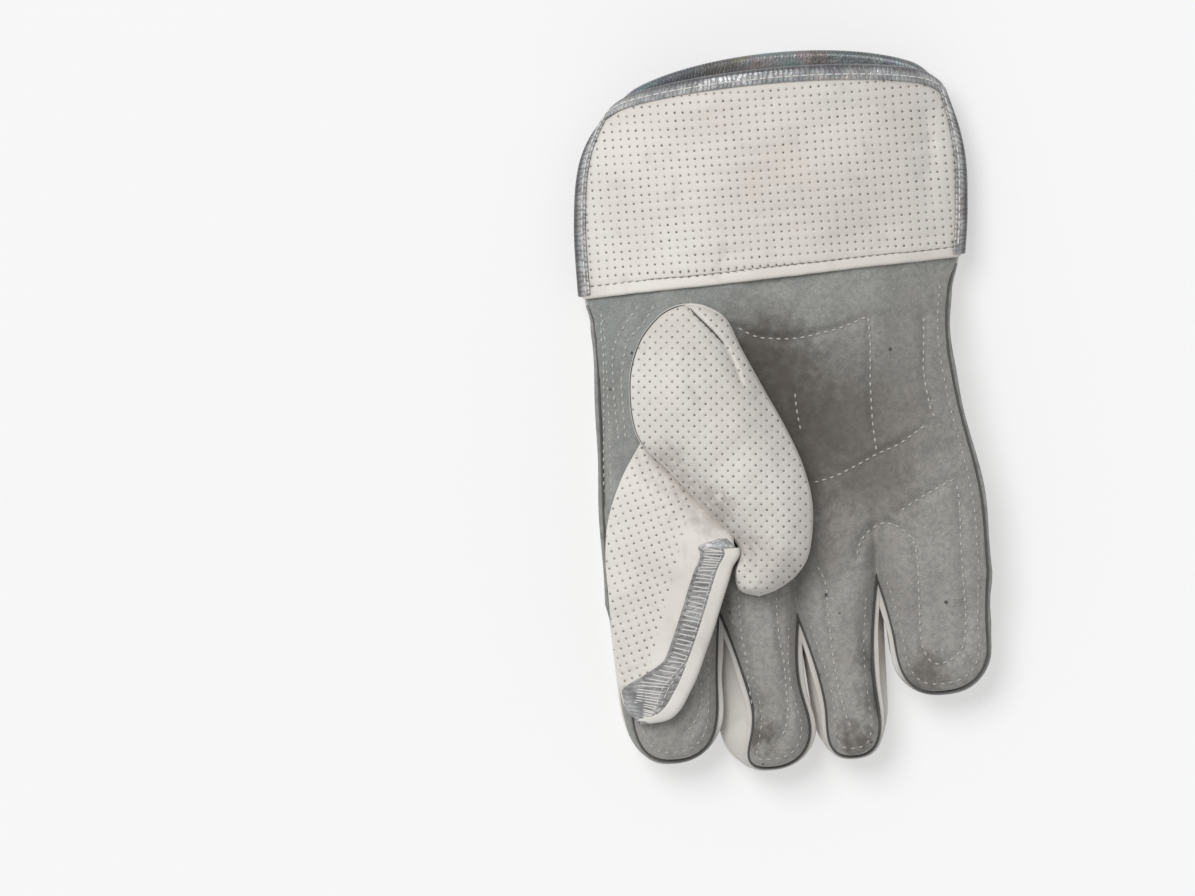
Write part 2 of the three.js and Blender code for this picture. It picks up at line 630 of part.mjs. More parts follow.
function badgePieces() {
  const inner = (gap) => shield(BADGE_WIDTH - 2 * (BADGE_RIM + gap), BADGE_HEIGHT - 2 * (BADGE_RIM + gap));
  const rim = shield(BADGE_WIDTH, BADGE_HEIGHT);
  rim.holes.push(new THREE.Path(inner(0).getPoints(8)));
  const patch = shield(BADGE_WIDTH + 2 * PATCH_MARGIN, BADGE_HEIGHT + 2 * PATCH_MARGIN);
  return {
    badge_patch: extruded(patch, BADGE_WALL + CLEARANCE, STRIPE_WALL),
    badge_rim: extruded(rim, 0, BADGE_WALL),
    badge_plate: extruded(inner(CLEARANCE), 0, BADGE_WALL),
  };
}

// A film band across one finger's back, just before the rounded tip.
function tipBand(k) {
  const start = 1 - FINGERS[k].round;
  const rows = steps(start - TIP_BAND_WIDTH, start, 3).map((t) =>
    [0.05, ...ACROSS.slice(1, -1), 0.95].map((u) => handPoint("back", k, u, KNUCKLES + t)),
  );
  return flatSheet(rows, -CLEARANCE - BAND_WALL, -CLEARANCE);
}

// Looks of the real materials.
const leather = (color) => new THREE.MeshStandardMaterial({ color, roughness: 0.6, metalness: 0 });
const looks = {
  white: () => leather(0xddd8d0),
  grey: () => new THREE.MeshStandardMaterial({ color: 0x8f9794, roughness: 0.9, metalness: 0 }),
  film: () => new THREE.MeshStandardMaterial({ color: 0xb4b8be, roughness: 0.25, metalness: 0.7 }),
  rubber: () => new THREE.MeshStandardMaterial({ color: 0x1c1c1e, roughness: 0.5, metalness: 0 }),
};

const pieces = {
  back_panel: [backPanel, "white"],
  palm_panel: [palmPanel, "grey"],
  cuff_front_panel: [cuffFront, "white"],
  cuff_front_binding: [rimBinding("palm", cuffSurface, CLEARANCE, CLEARANCE + CUFF_WALL), "film"],
  cuff_back_binding: [rimBinding("back", backSurface, 0, BACK_WALL), "film"],
  cuff_side_binding_index: [sideBinding(0, 0, ACROSS[1]), "film"],
  cuff_side_binding_little: [sideBinding(FINGERS.length - 1, 1, ACROSS.at(-2)), "film"],
  thumb_back: [thumbBack, "white"],
  thumb_inner: [thumbInner, "grey"],
  thumb_side_wall: [thumbWall(), "white"],
  web: [web, "white"],
  web_band: [webBand, "film"],
  web_binding: [webBinding(), "white"],
  back_stripe: [backStripe(), "film"],
};
fingers.forEach((k) => {
  pieces[`${FINGERS[k].name}_side_wall`] = [walls[k], "white"];
  pieces[`${FINGERS[k].name}_tip_band`] = [tipBand(k), "film"];
});
for (const [name, geometry] of Object.entries(badgePieces())) {
  pieces[name] = [geometry, name === "badge_rim" ? "rubber" : "film"];
}

const glove = new THREE.Group();
glove.name = "wicketkeeping_glove";
for (const [name, [geometry, look]] of Object.entries(pieces)) {
  const mesh = new THREE.Mesh(geometry, looks[look]());
  mesh.name = name;
  glove.add(mesh);
}
const middle = new THREE.Box3().setFromObject(glove).getCenter(new THREE.Vector3());
glove.position.set(-middle.x, -middle.y, 0);

export default glove;
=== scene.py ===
"""A wicketkeeping glove for the right hand, sewn from leather panels, lying on its back with the palm up."""

import bpy
import numpy as np
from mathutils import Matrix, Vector


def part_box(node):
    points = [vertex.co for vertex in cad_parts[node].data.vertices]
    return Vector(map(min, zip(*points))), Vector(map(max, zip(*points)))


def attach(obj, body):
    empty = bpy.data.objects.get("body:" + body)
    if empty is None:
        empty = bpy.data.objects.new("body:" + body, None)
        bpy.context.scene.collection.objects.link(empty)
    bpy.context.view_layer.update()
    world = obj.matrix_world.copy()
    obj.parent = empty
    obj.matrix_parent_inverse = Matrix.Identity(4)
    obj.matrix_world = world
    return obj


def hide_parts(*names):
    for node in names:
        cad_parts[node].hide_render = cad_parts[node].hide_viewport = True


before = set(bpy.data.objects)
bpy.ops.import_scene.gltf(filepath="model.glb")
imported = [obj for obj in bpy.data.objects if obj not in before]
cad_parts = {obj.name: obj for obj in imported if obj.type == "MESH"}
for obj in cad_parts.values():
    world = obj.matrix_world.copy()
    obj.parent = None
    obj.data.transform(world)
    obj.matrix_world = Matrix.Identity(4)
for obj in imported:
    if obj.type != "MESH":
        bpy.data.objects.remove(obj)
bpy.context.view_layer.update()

# The view
# A camera straight above looks down on a white table. It takes in the photograph's whole field, level with
# its edges, at 0.45 mm for each of its pixels.
MM = 0.001
PIXEL = 0.45 * MM
PICTURE_WIDTH = 1195
EYE = (-83.8 * MM, -17.3 * MM, 1.5)


def placed(name, data):
    """An object of some data, in the scene."""
    made = bpy.data.objects.new(name, data)
    bpy.context.scene.collection.objects.link(made)
    return made


camera = placed("camera", bpy.data.cameras.new("camera"))
camera.data.type = "ORTHO"
camera.data.ortho_scale = PICTURE_WIDTH * PIXEL
camera.location = EYE
bpy.context.scene.camera = camera
bpy.context.scene.view_settings.view_transform = "Standard"

# The light and the table
# Daylight comes from beyond the cuff on the thumb's side, soft enough for blurred shadows, in a pale room.
# The table glows a little, so its shadows stay light.
SUN_PLACE = (-0.42, 0.48, 1.0)
TABLE_SIDE = 6.0


def add(near, kind, inputs=(), **settings):
    """A shader node in a socket's tree, with its settings, and its inputs, each linked or given a value."""
    tree = near.id_data
    made = tree.nodes.new("ShaderNode" + kind)
    for key, value in settings.items():
        setattr(made, key, value)
    for key, value in dict(inputs).items():
        if isinstance(value, bpy.types.NodeSocket):
            tree.links.new(value, made.inputs[key])
        else:
            made.inputs[key].default_value = value
    return made


def blank(name, slot, **values):
    """A new material for a slot, with its shader's own values, and the object's coordinates."""
    made = bpy.data.materials.new(name)
    made.use_nodes = True
    made["slot"] = slot
    for key, value in values.items():
        made.node_tree.nodes["Principled BSDF"].inputs[key.replace("_", " ")].default_value = value
    return made, add(made.node_tree, "TexCoord").outputs["Object"]


daylight = placed("daylight", bpy.data.lights.new("daylight", "SUN"))
daylight.data.energy = 1.75
daylight.data.angle = 0.62
daylight.rotation_mode = "QUATERNION"
daylight.rotation_quaternion = Vector(SUN_PLACE).to_track_quat("Z", "Y")
world = bpy.data.worlds.new("studio")
world.use_nodes = True
room = world.node_tree.nodes["Background"].inputs
room["Color"].default_value = (1, 1, 1, 1)
room["Strength"].default_value = 0.54
bpy.context.scene.world = world

half = TABLE_SIDE / 2
table_mesh = bpy.data.meshes.new("table")
corners = [(-half, -half, 0), (half, -half, 0), (half, half, 0), (-half, half, 0)]
table_mesh.from_pydata(corners, [], [(0, 1, 2, 3)])
glow = dict(Emission_Color=(1, 1, 1, 1), Emission_Strength=0.42)
table_mesh.materials.append(blank("table_paint", "", Base_Color=(0.5, 0.5, 0.5, 1), Roughness=0.9, **glow)[0])
placed("table", table_mesh)

# The back panel
# One padded piece of white perforated leather covers the back of the hand, the fingers and the cuff. It is
# cut in one shape with its fingers, punched all over on a square pitch, and folded at the cuff's seam.
GLOVE_WIDTH, GLOVE_LENGTH, HAND_HEIGHT = 189, 323, 46
BACK_LIFT = 2.0
BACK_WALL = 3.2
PITCH = 3.55
SEAM, KNUCKLES = 3, 7
PALM_INSET = 3.5
RIM_RISE = {"back": 0.057, "palm": 0.037}
CORNER_FALL = 3.5
OUTER_EDGE = {"back": 1.6, "palm": -1.0}
FINGER_REACH = 0.36
BADGE_PLACE = (-0.167, 0.285)
BADGE_HEIGHT = 70
FOLD_LINE = np.array([(-95, 41), (-39, 46), (28, 49), (90, 53)], float)
FOLD_WIDTH, FOLD_HEIGHT = 1.2, 1.5
ROUND_EDGE = np.radians([58, 20, -20, -58])


def columns(names, *rows):
    """The named columns of a short table."""
    return dict(zip(names.split(), np.array(rows, float).T))


# Sections across the cuff and the palm from the mouth to the knuckles, in shares of the width and length.
# Height, edge and lift are shares of the hand's height, and reach of its width.
SECTIONS = columns(
    "index_x index_y little_x little_y height edge lift reach",
    (-0.418, 0.41, 0.36, 0.452, 1.0, 0.235, 0.15, 0.5),
    (-0.472, 0.34, 0.402, 0.36, 1.0, 0.235, 0.15, 0.5),
    (-0.484, 0.256, 0.409, 0.283, 0.98, 0.24, 0.15, 0.5),
    (-0.474, 0.155, 0.404, 0.214, 0.92, 0.31, 0.14, 0.45),
    (-0.461, 0.081, 0.39, 0.116, 0.85, 0.52, 0.12, 0.28),
    (-0.452, -0.03, 0.414, 0.019, 0.8, 0.56, 0.11, 0.17),
    (-0.445, -0.148, 0.471, -0.114, 0.76, 0.55, 0.1, 0.11),
    (-0.431, -0.272, 0.489, -0.228, 0.74, 0.53, 0.1, 0.09),
)
LAST = {name: column[-1] for name, column in SECTIONS.items()}
# The fingers from the index to the little one. Lean is how far the palm face stands inside the back's edge,
# and pulled how far all of it is drawn to the little finger's side before the tip.
FINGERS = columns(
    "crotch_x crotch_y tip_x tip_y tip_width round lean_index lean_little height pulled",
    (-0.173, -0.276, -0.268, -0.489, 0.24, 0.42, 0.037, 0.014, 0.7, 0.0),
    (0.025, -0.283, -0.05, -0.499, 0.21, 0.34, 0.062, 0.02, 0.72, 0.024),
    (0.223, -0.228, 0.163, -0.483, 0.167, 0.29, 0.033, 0.03, 0.68, 0.004),
    (0.489, -0.228, 0.378, -0.393, 0.234, 0.42, 0.021, 0.015, 0.64, 0.0),
)
FINGER_NAMES = ("index", "middle", "ring", "little")
# Pads and hollows of the palm.
RELIEF = columns(
    "x y radius_x radius_y rise",
    (0.02, 0.145, 0.16, 0.045, 0.06),
    (-0.3, 0.07, 0.09, 0.09, 0.1),
    (0.06, -0.03, 0.17, 0.08, -0.09),
    (0.33, -0.06, 0.09, 0.1, 0.05),
    (0.1, -0.19, 0.3, 0.035, 0.04),
)
badge_low, badge_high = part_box("badge_rim")
SHIFT_X = (badge_low[0] + badge_high[0]) / 2 / MM - BADGE_PLACE[0] * GLOVE_WIDTH
SHIFT_Y = badge_low[1] / MM + BADGE_HEIGHT / 2 - BADGE_PLACE[1] * GLOVE_LENGTH


def lerp(low, high, share):
    """The value a share of the way from low to high."""
    return low + (high - low) * share


def smooth(value, low, high):
    """0 below low, 1 above high, and 3s^2 - 2s^3 of the share s between."""
    s = np.clip((value - low) / (high - low), 0, 1)
    return s * s * (3 - 2 * s)


def between(column, place):
    """A column at places between its rows: the cubic through four rows, carried straight on past the ends."""
    rows = np.concatenate([[2 * column[0] - column[1]], column, [2 * column[-1] - column[-2]]])
    start = np.clip(np.floor(place), 0, len(column) - 2).astype(int)
    f = place - start
    a, b, c, d = (rows[start + i] for i in range(4))
    return b + f / 2 * (c - a + f * (2 * a - 5 * b + 4 * c - d + f * (3 * (b - c) + d - a)))


def nearness(distance, reach):
    """(1 - distance / reach)^2.4: 1 on an edge, falling to 0 over the reach."""
    return np.maximum(0, 1 - distance / reach) ** 2.4


def body_point(side, across, place):
    """x, y, openness, height, edge and lift where the hand is cut at a place between the sections, across
    it from 0 at the index side to 1. Rows arch at the mouth, and bend to pass through the crotches."""
    at = {name: between(SECTIONS[name], place) for name in SECTIONS}
    inset = PALM_INSET * smooth(place, SEAM, SEAM + 0.5) if side == "palm" else 0
    x = lerp(at["index_x"] * GLOVE_WIDTH + inset, at["little_x"] * GLOVE_WIDTH - inset, across)
    arch = np.maximum(0, 1 - (2 * across - 1) ** 2) ** 0.6
    rise = RIM_RISE[side] * arch * np.maximum(0, 1 - place / SEAM) ** 1.5
    y = (lerp(at["index_y"], at["little_y"], across) + rise) * GLOVE_LENGTH
    edges = np.arange(1, 4) / 4
    shift_x = FINGERS["crotch_x"][:3] - lerp(LAST["index_x"], LAST["little_x"], edges)
    shift_y = FINGERS["crotch_y"][:3] - lerp(LAST["index_y"], LAST["little_y"], edges)
    bend = smooth(place, SEAM + 1, KNUCKLES)
    ray = across * 4
    x = x + bend * np.interp(ray, range(5), [0, *shift_x, 0]) * GLOVE_WIDTH
    y = y + bend * np.interp(ray, range(5), [0, *shift_y, 0]) * GLOVE_LENGTH
    opened = 1 - nearness(np.minimum(across, 1 - across), at["reach"])
    parting = smooth(place, KNUCKLES - 1, KNUCKLES)
    for edge in (1, 2, 3):
        opened = opened * (1 - parting * nearness(np.abs(ray - edge), FINGER_REACH))
    return x, y, opened, at["height"], at["edge"], at["lift"]


def finger_point(side, k, u, t):
    """The same six values on finger k, u across it and t along it. Its sides run straight to the tip's
    corners, drawn in by sin(pi t^1.3)^0.7 on the palm side, and its tip closes as a 2.3 power oval."""
    finger = {name: FINGERS[name][k] for name in FINGERS}
    left, right = (body_point(side, np.float64(k + edge) / 4, np.float64(KNUCKLES))[:2] for edge in (0, 1))
    tip = np.array([finger["tip_x"] * GLOVE_WIDTH, finger["tip_y"] * GLOVE_LENGTH])
    axis = tip - (np.array(left) + right) / 2
    axis /= np.hypot(*axis)
    reach = finger["tip_width"] * GLOVE_WIDTH / 2 * np.array([-axis[1], axis[0]])
    lean = np.sin(np.pi * np.minimum(t, 0.9999) ** 1.3) ** 0.7 * GLOVE_WIDTH if side == "palm" else 0
    first = [lerp(left[i], (tip - reach)[i], t) for i in (0, 1)]
    second = [lerp(right[i], (tip + reach)[i], t) for i in (0, 1)]
    q = np.maximum(0, (t - (1 - finger["round"])) / finger["round"])
    oval = np.where(q > 0.9999, 0, np.maximum(0, 1 - q**2.3) ** (1 / 2.3))
    across = 0.5 + (u - 0.5) * oval
    x = lerp(first[0] + lean * finger["lean_index"], second[0] - lean * finger["lean_little"], across)
    if side == "palm":
        x = x + finger["pulled"] * GLOVE_WIDTH * np.exp(-(((t - 0.76) / 0.26) ** 2))
    y = lerp(first[1], second[1], across)
    opened = (1 - nearness(u, FINGER_REACH)) * (1 - nearness(1 - u, FINGER_REACH)) * np.sqrt(oval)
    height = lerp(lerp(LAST["height"], finger["height"], smooth(t, 0, 0.4)), finger["height"] * 0.8, t * t)
    return x, y, opened, height, lerp(LAST["edge"], 0.42, t), lerp(LAST["lift"], 0.17, t)


def hand(side, k, u, station):
    """Points of the back's underside or the palm's upper side on strip k, u across it. A station up to
    KNUCKLES is a section of the hand, and past it the share of the finger's length."""
    u, station = np.broadcast_arrays(np.asarray(u, float), np.asarray(station, float))
    share = (k + u) / 4
    body = np.broadcast_arrays(*body_point(side, share, np.minimum(station, KNUCKLES)))
    finger = np.broadcast_arrays(*finger_point(side, k, u, np.clip(station - KNUCKLES, 0, 1)))
    x, y, opened, height, edge, lift = np.where(station <= KNUCKLES, np.array(body), np.array(finger))
    corner = np.maximum(0, 1 - np.minimum(share, 1 - share) / 0.08) * np.maximum(0, 1 - station / 0.8)
    y = y - CORNER_FALL * corner**2
    outside = smooth(0.0875 - share, 0, 0.0875) - smooth(share, 0.9125, 1)
    along = smooth(station, SEAM, SEAM + 0.6) * (1 - smooth(station - KNUCKLES, 0.7, 1))
    x = x + OUTER_EDGE[side] * outside * along
    if side == "back":
        z = lift * HAND_HEIGHT * (1 - opened)
    else:
        z = lerp(edge, height, opened) * HAND_HEIGHT
        for px, py, rx, ry, rise in zip(*RELIEF.values()):
            bump = ((x / GLOVE_WIDTH - px) / rx) ** 2 + ((y / GLOVE_LENGTH - py) / ry) ** 2
            z = z + rise * HAND_HEIGHT * np.exp(-bump) * opened
    return np.stack([x + SHIFT_X, y + SHIFT_Y, BACK_LIFT + z], -1)


def finger_stations(k):
    """Stations along finger k, closer together round the tip."""
    start = 1 - FINGERS["round"][k]
    arc = start + FINGERS["round"][k] * np.sin(np.linspace(0, np.pi / 2, 20))
    return KNUCKLES + np.concatenate([np.linspace(0, start, 30)[1:], arc[1:]])


def crumple(x, y, length, height, seed):
    """Slight random waves of leather: the mean of ten sines in random directions, about a length apart."""
    chance = np.random.default_rng(seed)
    turn, start = chance.uniform(0, 2 * np.pi, (2, 10))
    pitch = 2 * np.pi / (length * chance.uniform(0.7, 1.5, 10))
    ways = [np.sin(p * (x * np.cos(a) + y * np.sin(a)) + s) for p, a, s in zip(pitch, turn, start)]
    return height * sum(ways) / 3.2


def unit(vectors):
    """Vectors at a length of 1."""
    return vectors / np.maximum(np.linalg.norm(vectors, axis=-1, keepdims=True), 1e-12)


def cut_at(cosine, sine):
    """A function for the pattern's coordinates at points, in pitches of the holes, on leather at an angle."""
    turn = np.array([(cosine, -sine), (sine, cosine)])
    return lambda points: points[..., :2] @ turn / PITCH


def finished(name, mesh, material):
    """A smooth-shaded piece that rides on the glove's one body, in its finish and its record's slot."""
    mesh.shade_smooth()
    mesh.materials.append(material)
    piece = placed(name, mesh)
    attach(piece, "root")
    return piece


def panel(name, node, grids, low, high, cut, material, keep=None):
    """A closed panel of leather in a node's place, from grids of points in millimetres, whose rows and
    columns turn its face up. Points that coincide are joined, its faces lie at low and high along the
    normals, and its edge is half round, with no hole in it. cut is the pattern's coordinates, or gives
    them at points, and keep says which faces stay, by their middles."""
    points = np.concatenate([grid.reshape(-1, 3) for grid in grids])
    pattern = np.concatenate([(cut(grid) if callable(cut) else cut).reshape(-1, 2) for grid in grids])
    quads, count = [], 0
    for grid in grids:
        at = count + np.arange(grid[..., 0].size).reshape(grid.shape[:2])
        quads.append(np.stack([at[:-1, :-1], at[1:, :-1], at[1:, 1:], at[:-1, 1:]], -1).reshape(-1, 4))
        count += at.size
    quads = np.concatenate(quads)
    if keep is not None:
        quads = quads[keep(points[quads].mean(1))]
    cells = np.round(points * 200).astype(int)
    _, first, joined = np.unique(cells, axis=0, return_index=True, return_inverse=True)
    used, quads = np.unique(joined.reshape(-1)[quads], return_inverse=True)
    quads = quads.reshape(-1, 4)
    points, pattern = points[first][used], pattern[first][used]
    same = quads == np.roll(quads, -1, 1)
    single = same.sum(1) == 1
    triangles = quads[single][~same[single]].reshape(-1, 3)
    quads = quads[~same.any(1)]

    normals = np.zeros_like(points)
    for faces in (quads, triangles):
        area = np.cross(points[faces[:, 2]] - points[faces[:, 0]], points[faces[:, -1]] - points[faces[:, 1]])
        for corner in range(faces.shape[1]):
            np.add.at(normals, faces[:, corner], area)
    normals = unit(normals)

    edges = [np.stack([faces, np.roll(faces, -1, 1)], -1).reshape(-1, 2) for faces in (quads, triangles)]
    edges = np.concatenate(edges)
    n = len(points)
    rim = edges[~np.isin(edges[:, 0] * n + edges[:, 1], edges[:, 1] * n + edges[:, 0])]
    outward = np.zeros_like(points)
    way = unit(points[rim[:, 1]] - points[rim[:, 0]])
    for end in (0, 1):
        np.add.at(outward, rim[:, end], np.cross(way, normals[rim[:, end]]))
    around, place = np.unique(rim, return_inverse=True)
    place = place.reshape(rim.shape)
    outward = unit(outward[around])
    layers = [points + normals * high, points + normals * low]
    for bow in ROUND_EDGE:
        level = (high + low) / 2 + (high - low) / 2 * np.sin(bow)
        layers.append(points[around] + normals[around] * level + outward * (high - low) / 2 * np.cos(bow))
    rings = [2 * n + i * len(around) + np.arange(len(around)) for i in range(len(ROUND_EDGE))]
    rings = [around, *rings, around + n]
    sides = [
        np.stack([upper[place[:, 0]], lower[place[:, 0]], lower[place[:, 1]], upper[place[:, 1]]], -1)
        for upper, lower in zip(rings, rings[1:])
    ]
    faces = [*quads, *triangles, *(quads + n)[:, ::-1], *(triangles + n)[:, ::-1], *np.concatenate(sides)]
    mesh = bpy.data.meshes.new(name)
    mesh.from_pydata((np.concatenate(layers) * MM).tolist(), [], [face.tolist() for face in faces])
    on_rim = np.round(pattern[around]) if "punched" in material.name else pattern[around]
    whole = np.concatenate([pattern, pattern, *[on_rim] * len(ROUND_EDGE)])
    corners = np.empty(len(mesh.loops), int)
    mesh.loops.foreach_get("vertex_index", corners)
    mesh.uv_layers.new(name="cut").data.foreach_set("uv", whole[corners].astype(np.float32).ravel())
    piece = finished(name, mesh, material)
    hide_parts(node)
    return piece


def noise(where, scale, detail=4.0, distortion=0.0):
    """Noise from 0 to 1, in waves of a scale to the metre."""
    inputs = {"Vector": where, "Scale": scale, "Detail": detail, "Distortion": distortion}
    return add(where, "TexNoise", inputs).outputs[0]


def ranged(value, low, high, start=0.0, end=1.0):
    """A value's range from low to high, moved to start and end and held there."""
    inputs = {"Value": value, "From Min": low, "From Max": high, "To Min": start, "To Max": end}
    return add(value, "MapRange", inputs).outputs[0]


def mixed(share, low, high):
    """A colour between two others."""
    return add(share, "Mix", {0: share, 6: low, 7: high}, data_type="RGBA").outputs[2]


def reckoned(operation, *values, kind="Math", out=0):
    """Arithmetic on values, or on vectors for the kind VectorMath."""
    return add(values[0], kind, enumerate(values), operation=operation).outputs[out]


def dyed(shade, *colour):
    """A colour made darker by a shade."""
    return (*(shade * part for part in colour), 1)


def mottled(colour, other, most, where, scale, low, high, detail=4.0, distortion=0.0):
    """A colour in patches of another, by most at the strongest, as noise of a scale runs from low to high."""
    return mixed(ranged(noise(where, scale, detail, distortion), low, high, 0.0, most), colour, other)


def shaded_and_stained(colour, place, shade_and_stains, other):
    """A colour under ragged round patches of another, painted shade and stains, from the middle, reach
    and strength of each.
    """
    flat = reckoned("MULTIPLY", place, (1, 1, 0), kind="VectorMath")
    ragged = ranged(noise(place, 260.0, 5.0), 0.2, 0.8, -0.006, 0.006)
    for x, y, reach, share in shade_and_stains:
        away = reckoned("DISTANCE", flat, (x * MM, y * MM, 0), kind="VectorMath", out="Value")
        away = reckoned("ADD", away, ragged)
        colour = mixed(ranged(away, 0.2 * reach * MM, reach * MM, share, 0.0), colour, other)
    return colour


def covered(made, colour, height, depth, rough=None):
    """A material with its colour, a bump of a depth in metres, and its roughness where it varies."""
    tree = made.node_tree
    bump = add(tree, "Bump", {"Height": height, "Distance": depth, "Strength": 1.0}).outputs[0]
    for socket, value in (("Base Color", colour), ("Normal", bump), ("Roughness", rough)):
        if value is not None:
            tree.links.new(value, tree.nodes["Principled BSDF"].inputs[socket])
    return made


def white_leather(name, punched, tint=1.0, wraps=False, hem=None, shade_and_stains=()):
    """White leather: warm, finely pebbled, with grey handling marks, and holes where it is punched, down
    to a hem, a line of a slope and a height. Where it wraps, the pattern's first value runs from the
    suede's grey to white. Patches of painted shade and stains darken it where they are given."""
    made, place = blank(name, "white_leather", Sheen_Weight=0.12, Sheen_Roughness=0.5)
    white, warm = dyed(tint, 0.73, 0.70, 0.66), dyed(tint, 0.655, 0.61, 0.565)
    colour = mottled(white, warm, 1.0, place, 14.0, 0.35, 0.7, 3.0)
    colour = mottled(colour, dyed(tint, 0.50, 0.47, 0.44), 0.35, place, 90.0, 0.56, 0.74, 8.0, 0.6)
    if wraps or punched:
        pattern = add(place, "UVMap", uv_map="cut").outputs[0]
    if wraps:
        white_share = add(place, "SeparateXYZ", {0: pattern}).outputs["X"]
        dusty = mottled((0.20, 0.205, 0.19, 1), (0.30, 0.30, 0.28, 1), 1.0, place, 300.0, 0.3, 0.7)
        colour = mixed(white_share, dusty, colour)
    # Patches of painted shade and stains, where they are given.
    colour = shaded_and_stained(colour, place, shade_and_stains, (0.34, 0.30, 0.27, 1))
    grain = add(place, "TexVoronoi", {"Vector": place, "Scale": 1100.0, "Randomness": 0.9}).outputs[0]
    height = reckoned("MULTIPLY", grain, 0.22)
    if punched:
        cell = reckoned("FRACTION", pattern, kind="VectorMath")
        centred = reckoned("SUBTRACT", cell, (0.5, 0.5, 0), kind="VectorMath")
        distance = reckoned("LENGTH", centred, kind="VectorMath", out="Value")
        if hem:
            slope, level = hem
            x, y = add(place, "SeparateXYZ", {0: place}).outputs[:2]
            over = reckoned("SUBTRACT", y, reckoned("MULTIPLY", x, slope))
            distance = reckoned("ADD", distance, ranged(over, (level - 0.1) * MM, level * MM, 1.0, 0.0))
        darkening = ranged(noise(pattern, 0.35, 3.0), 0.3, 0.7, 0.55, 1.0)
        hole = reckoned("MULTIPLY", ranged(distance, 0.10, 0.175, 1.0, 0.0), darkening)
        colour = mixed(hole, colour, (0.10, 0.088, 0.08, 1))
        height = reckoned("ADD", height, ranged(distance, 0.10, 0.34, 0.0, 1.0))
    return covered(made, colour, height, 0.00022, ranged(noise(place, 60.0), 0.3, 0.7, 0.5, 0.68))


STRIP_SHARES = np.linspace(0, 1, 33)
flat_cut = cut_at(1, 0)
back_grids = []
for k in range(4):
    stations = np.concatenate([np.linspace(0, KNUCKLES, 140), finger_stations(k)])
    grid = hand("back", k, STRIP_SHARES[None], stations[:, None])
    x, y = grid[..., 0], grid[..., 1]
    fold = (y - np.interp(x, *FOLD_LINE.T)) / FOLD_WIDTH
    calm = smooth(stations, 0.2, 0.6)[:, None]
    grid[..., 2] += FOLD_HEIGHT * np.exp(-(fold**2)) + calm * np.abs(crumple(x, y, 45, 0.35, 3))
    back_grids.append(grid)
punched_leather = white_leather("punched_leather", True)
back = panel("back_leather", "back_panel", back_grids, 0, BACK_WALL, flat_cut, punched_leather)

# The palm
# Grey suede covers the palm and the front of the fingers. It is sewn down through its padding in loops and
# lines, which press it into soft pillows, and it is left open where the thumb passes through.
PALM_WALL = 1.8
THREAD_SIDES = 6
HOLE = dict(x=-0.262, y=0.045, radius_x=0.07, radius_y=0.052)
# Stitch lines: the heel's, the columns', the palm's crease, the fingers' and the thumb's root's.
QUILTING = (
    [(-21, 37), (-13, 33), (-6, 32), (5, 32), (15, 34), (26, 37), (38, 42)],
    [(38, 42), (39, 28), (39, 13), (40, -5), (42, -20)],
    [(63, 42), (63, 29), (63, 17), (66, 1), (69, -5)],
    [(13, -33), (23, -30), (33, -25), (42, -20), (51, -16), (57, -12), (65, -6)],
    [(5, 8), (6, -1), (8, -11)],
    [(33, -66), (34, -61), (38, -55), (46, -51), (56, -56), (60, -66), (61, -87), (62, -104),
     (66, -113), (72, -114), (80, -108), (82, -95), (80, -65), (79, -41), (77, -31)],
    [(77, -31), (68, -36), (61, -40), (52, -46)],
    [(15, -70), (19, -79), (20, -92), (23, -116), (27, -134), (31, -145)],
    [(-21, -76), (-20, -90), (-19, -101), (-17, -111), (-16, -121), (-14, -135)],
    [(-4, -76), (-3, -91), (-2, -103), (0, -112), (1, -124), (2, -136), (1, -143), (-2, -149)],
    [(-40, -100), (-39, -115), (-37, -126), (-38, -136), (-43, -145)],
    [(-65, 47), (-70, 40), (-75, 32), (-77, 23), (-76, 3), (-74, -16)],
    [(-58, 47), (-63, 39), (-70, 31), (-72, 22), (-73, 13), (-72, -2), (-71, -14)],
    [(-82, 44), (-82, 32), (-81, 22), (-81, -42)],
)
# Folds where the palm bends: the ends of each, and its width and height.
FOLDS = (
    (8, -38, 76, 2, 4.0, 1.3),
    (44, 2, 84, 16, 3.0, 0.7),
    (52, -14, 88, -10, 3.0, 0.9),
    (30, 46, 80, 52, 6.0, 0.8),
    (36, -88, 41, -148, 2.0, -2.2),
    (-20, 10, 4, 30, 6.0, -0.8),
)
# Where the suede is darker: painted shade from the thumb's shadow, in the palm's hollow, along the fingers'
# folds and round their cupped tips, and handling marks: the middle, reach and strength of each patch.
PALM_SHADE_AND_STAINS = (
    (-12, 28, 27, 0.8), (-3, 14, 28, 0.8), (4, -6, 28, 0.65), (10, -26, 28, 0.6), (28, -6, 54, 0.7),
    (14, -60, 24, 0.35), (44, -34, 24, 0.35), (64, -119, 13, 0.6), (33, -149, 11, 0.75), (38, -112, 8, 0.45),
    (40, -130, 9, 0.5), (-12, -147, 10, 0.85), (-14, -130, 8, 0.4), (-58, -84, 22, 0.4), (-56, -110, 16, 0.3),
    (60, 42, 30, 0.15), (-82, 10, 20, 0.15),
)


def lengths(line):
    """How far along a line each of its points lies."""
    return np.concatenate([[0], np.cumsum(np.linalg.norm(np.diff(line, axis=0), axis=1))])


def drawn(points, spacing=0.8):
    """A line through points, on the cubic between them, at even spacing."""
    points = np.array(points, float)
    place = np.linspace(0, len(points) - 1, 40 * len(points))
    line = np.stack([between(column, place) for column in points.T], -1)
    run = lengths(line)
    even = np.linspace(0, run[-1], max(2, int(run[-1] / spacing)))
    return np.stack([np.interp(even, run, column) for column in line.T], -1)


def distance_to(x, y, line):
    """How far points lie from the nearest point of a line."""
    gaps = np.full(x.shape, np.inf)
    for px, py in line[:, :2]:
        gaps = np.minimum(gaps, (x - px) ** 2 + (y - py) ** 2)
    return np.sqrt(gaps)


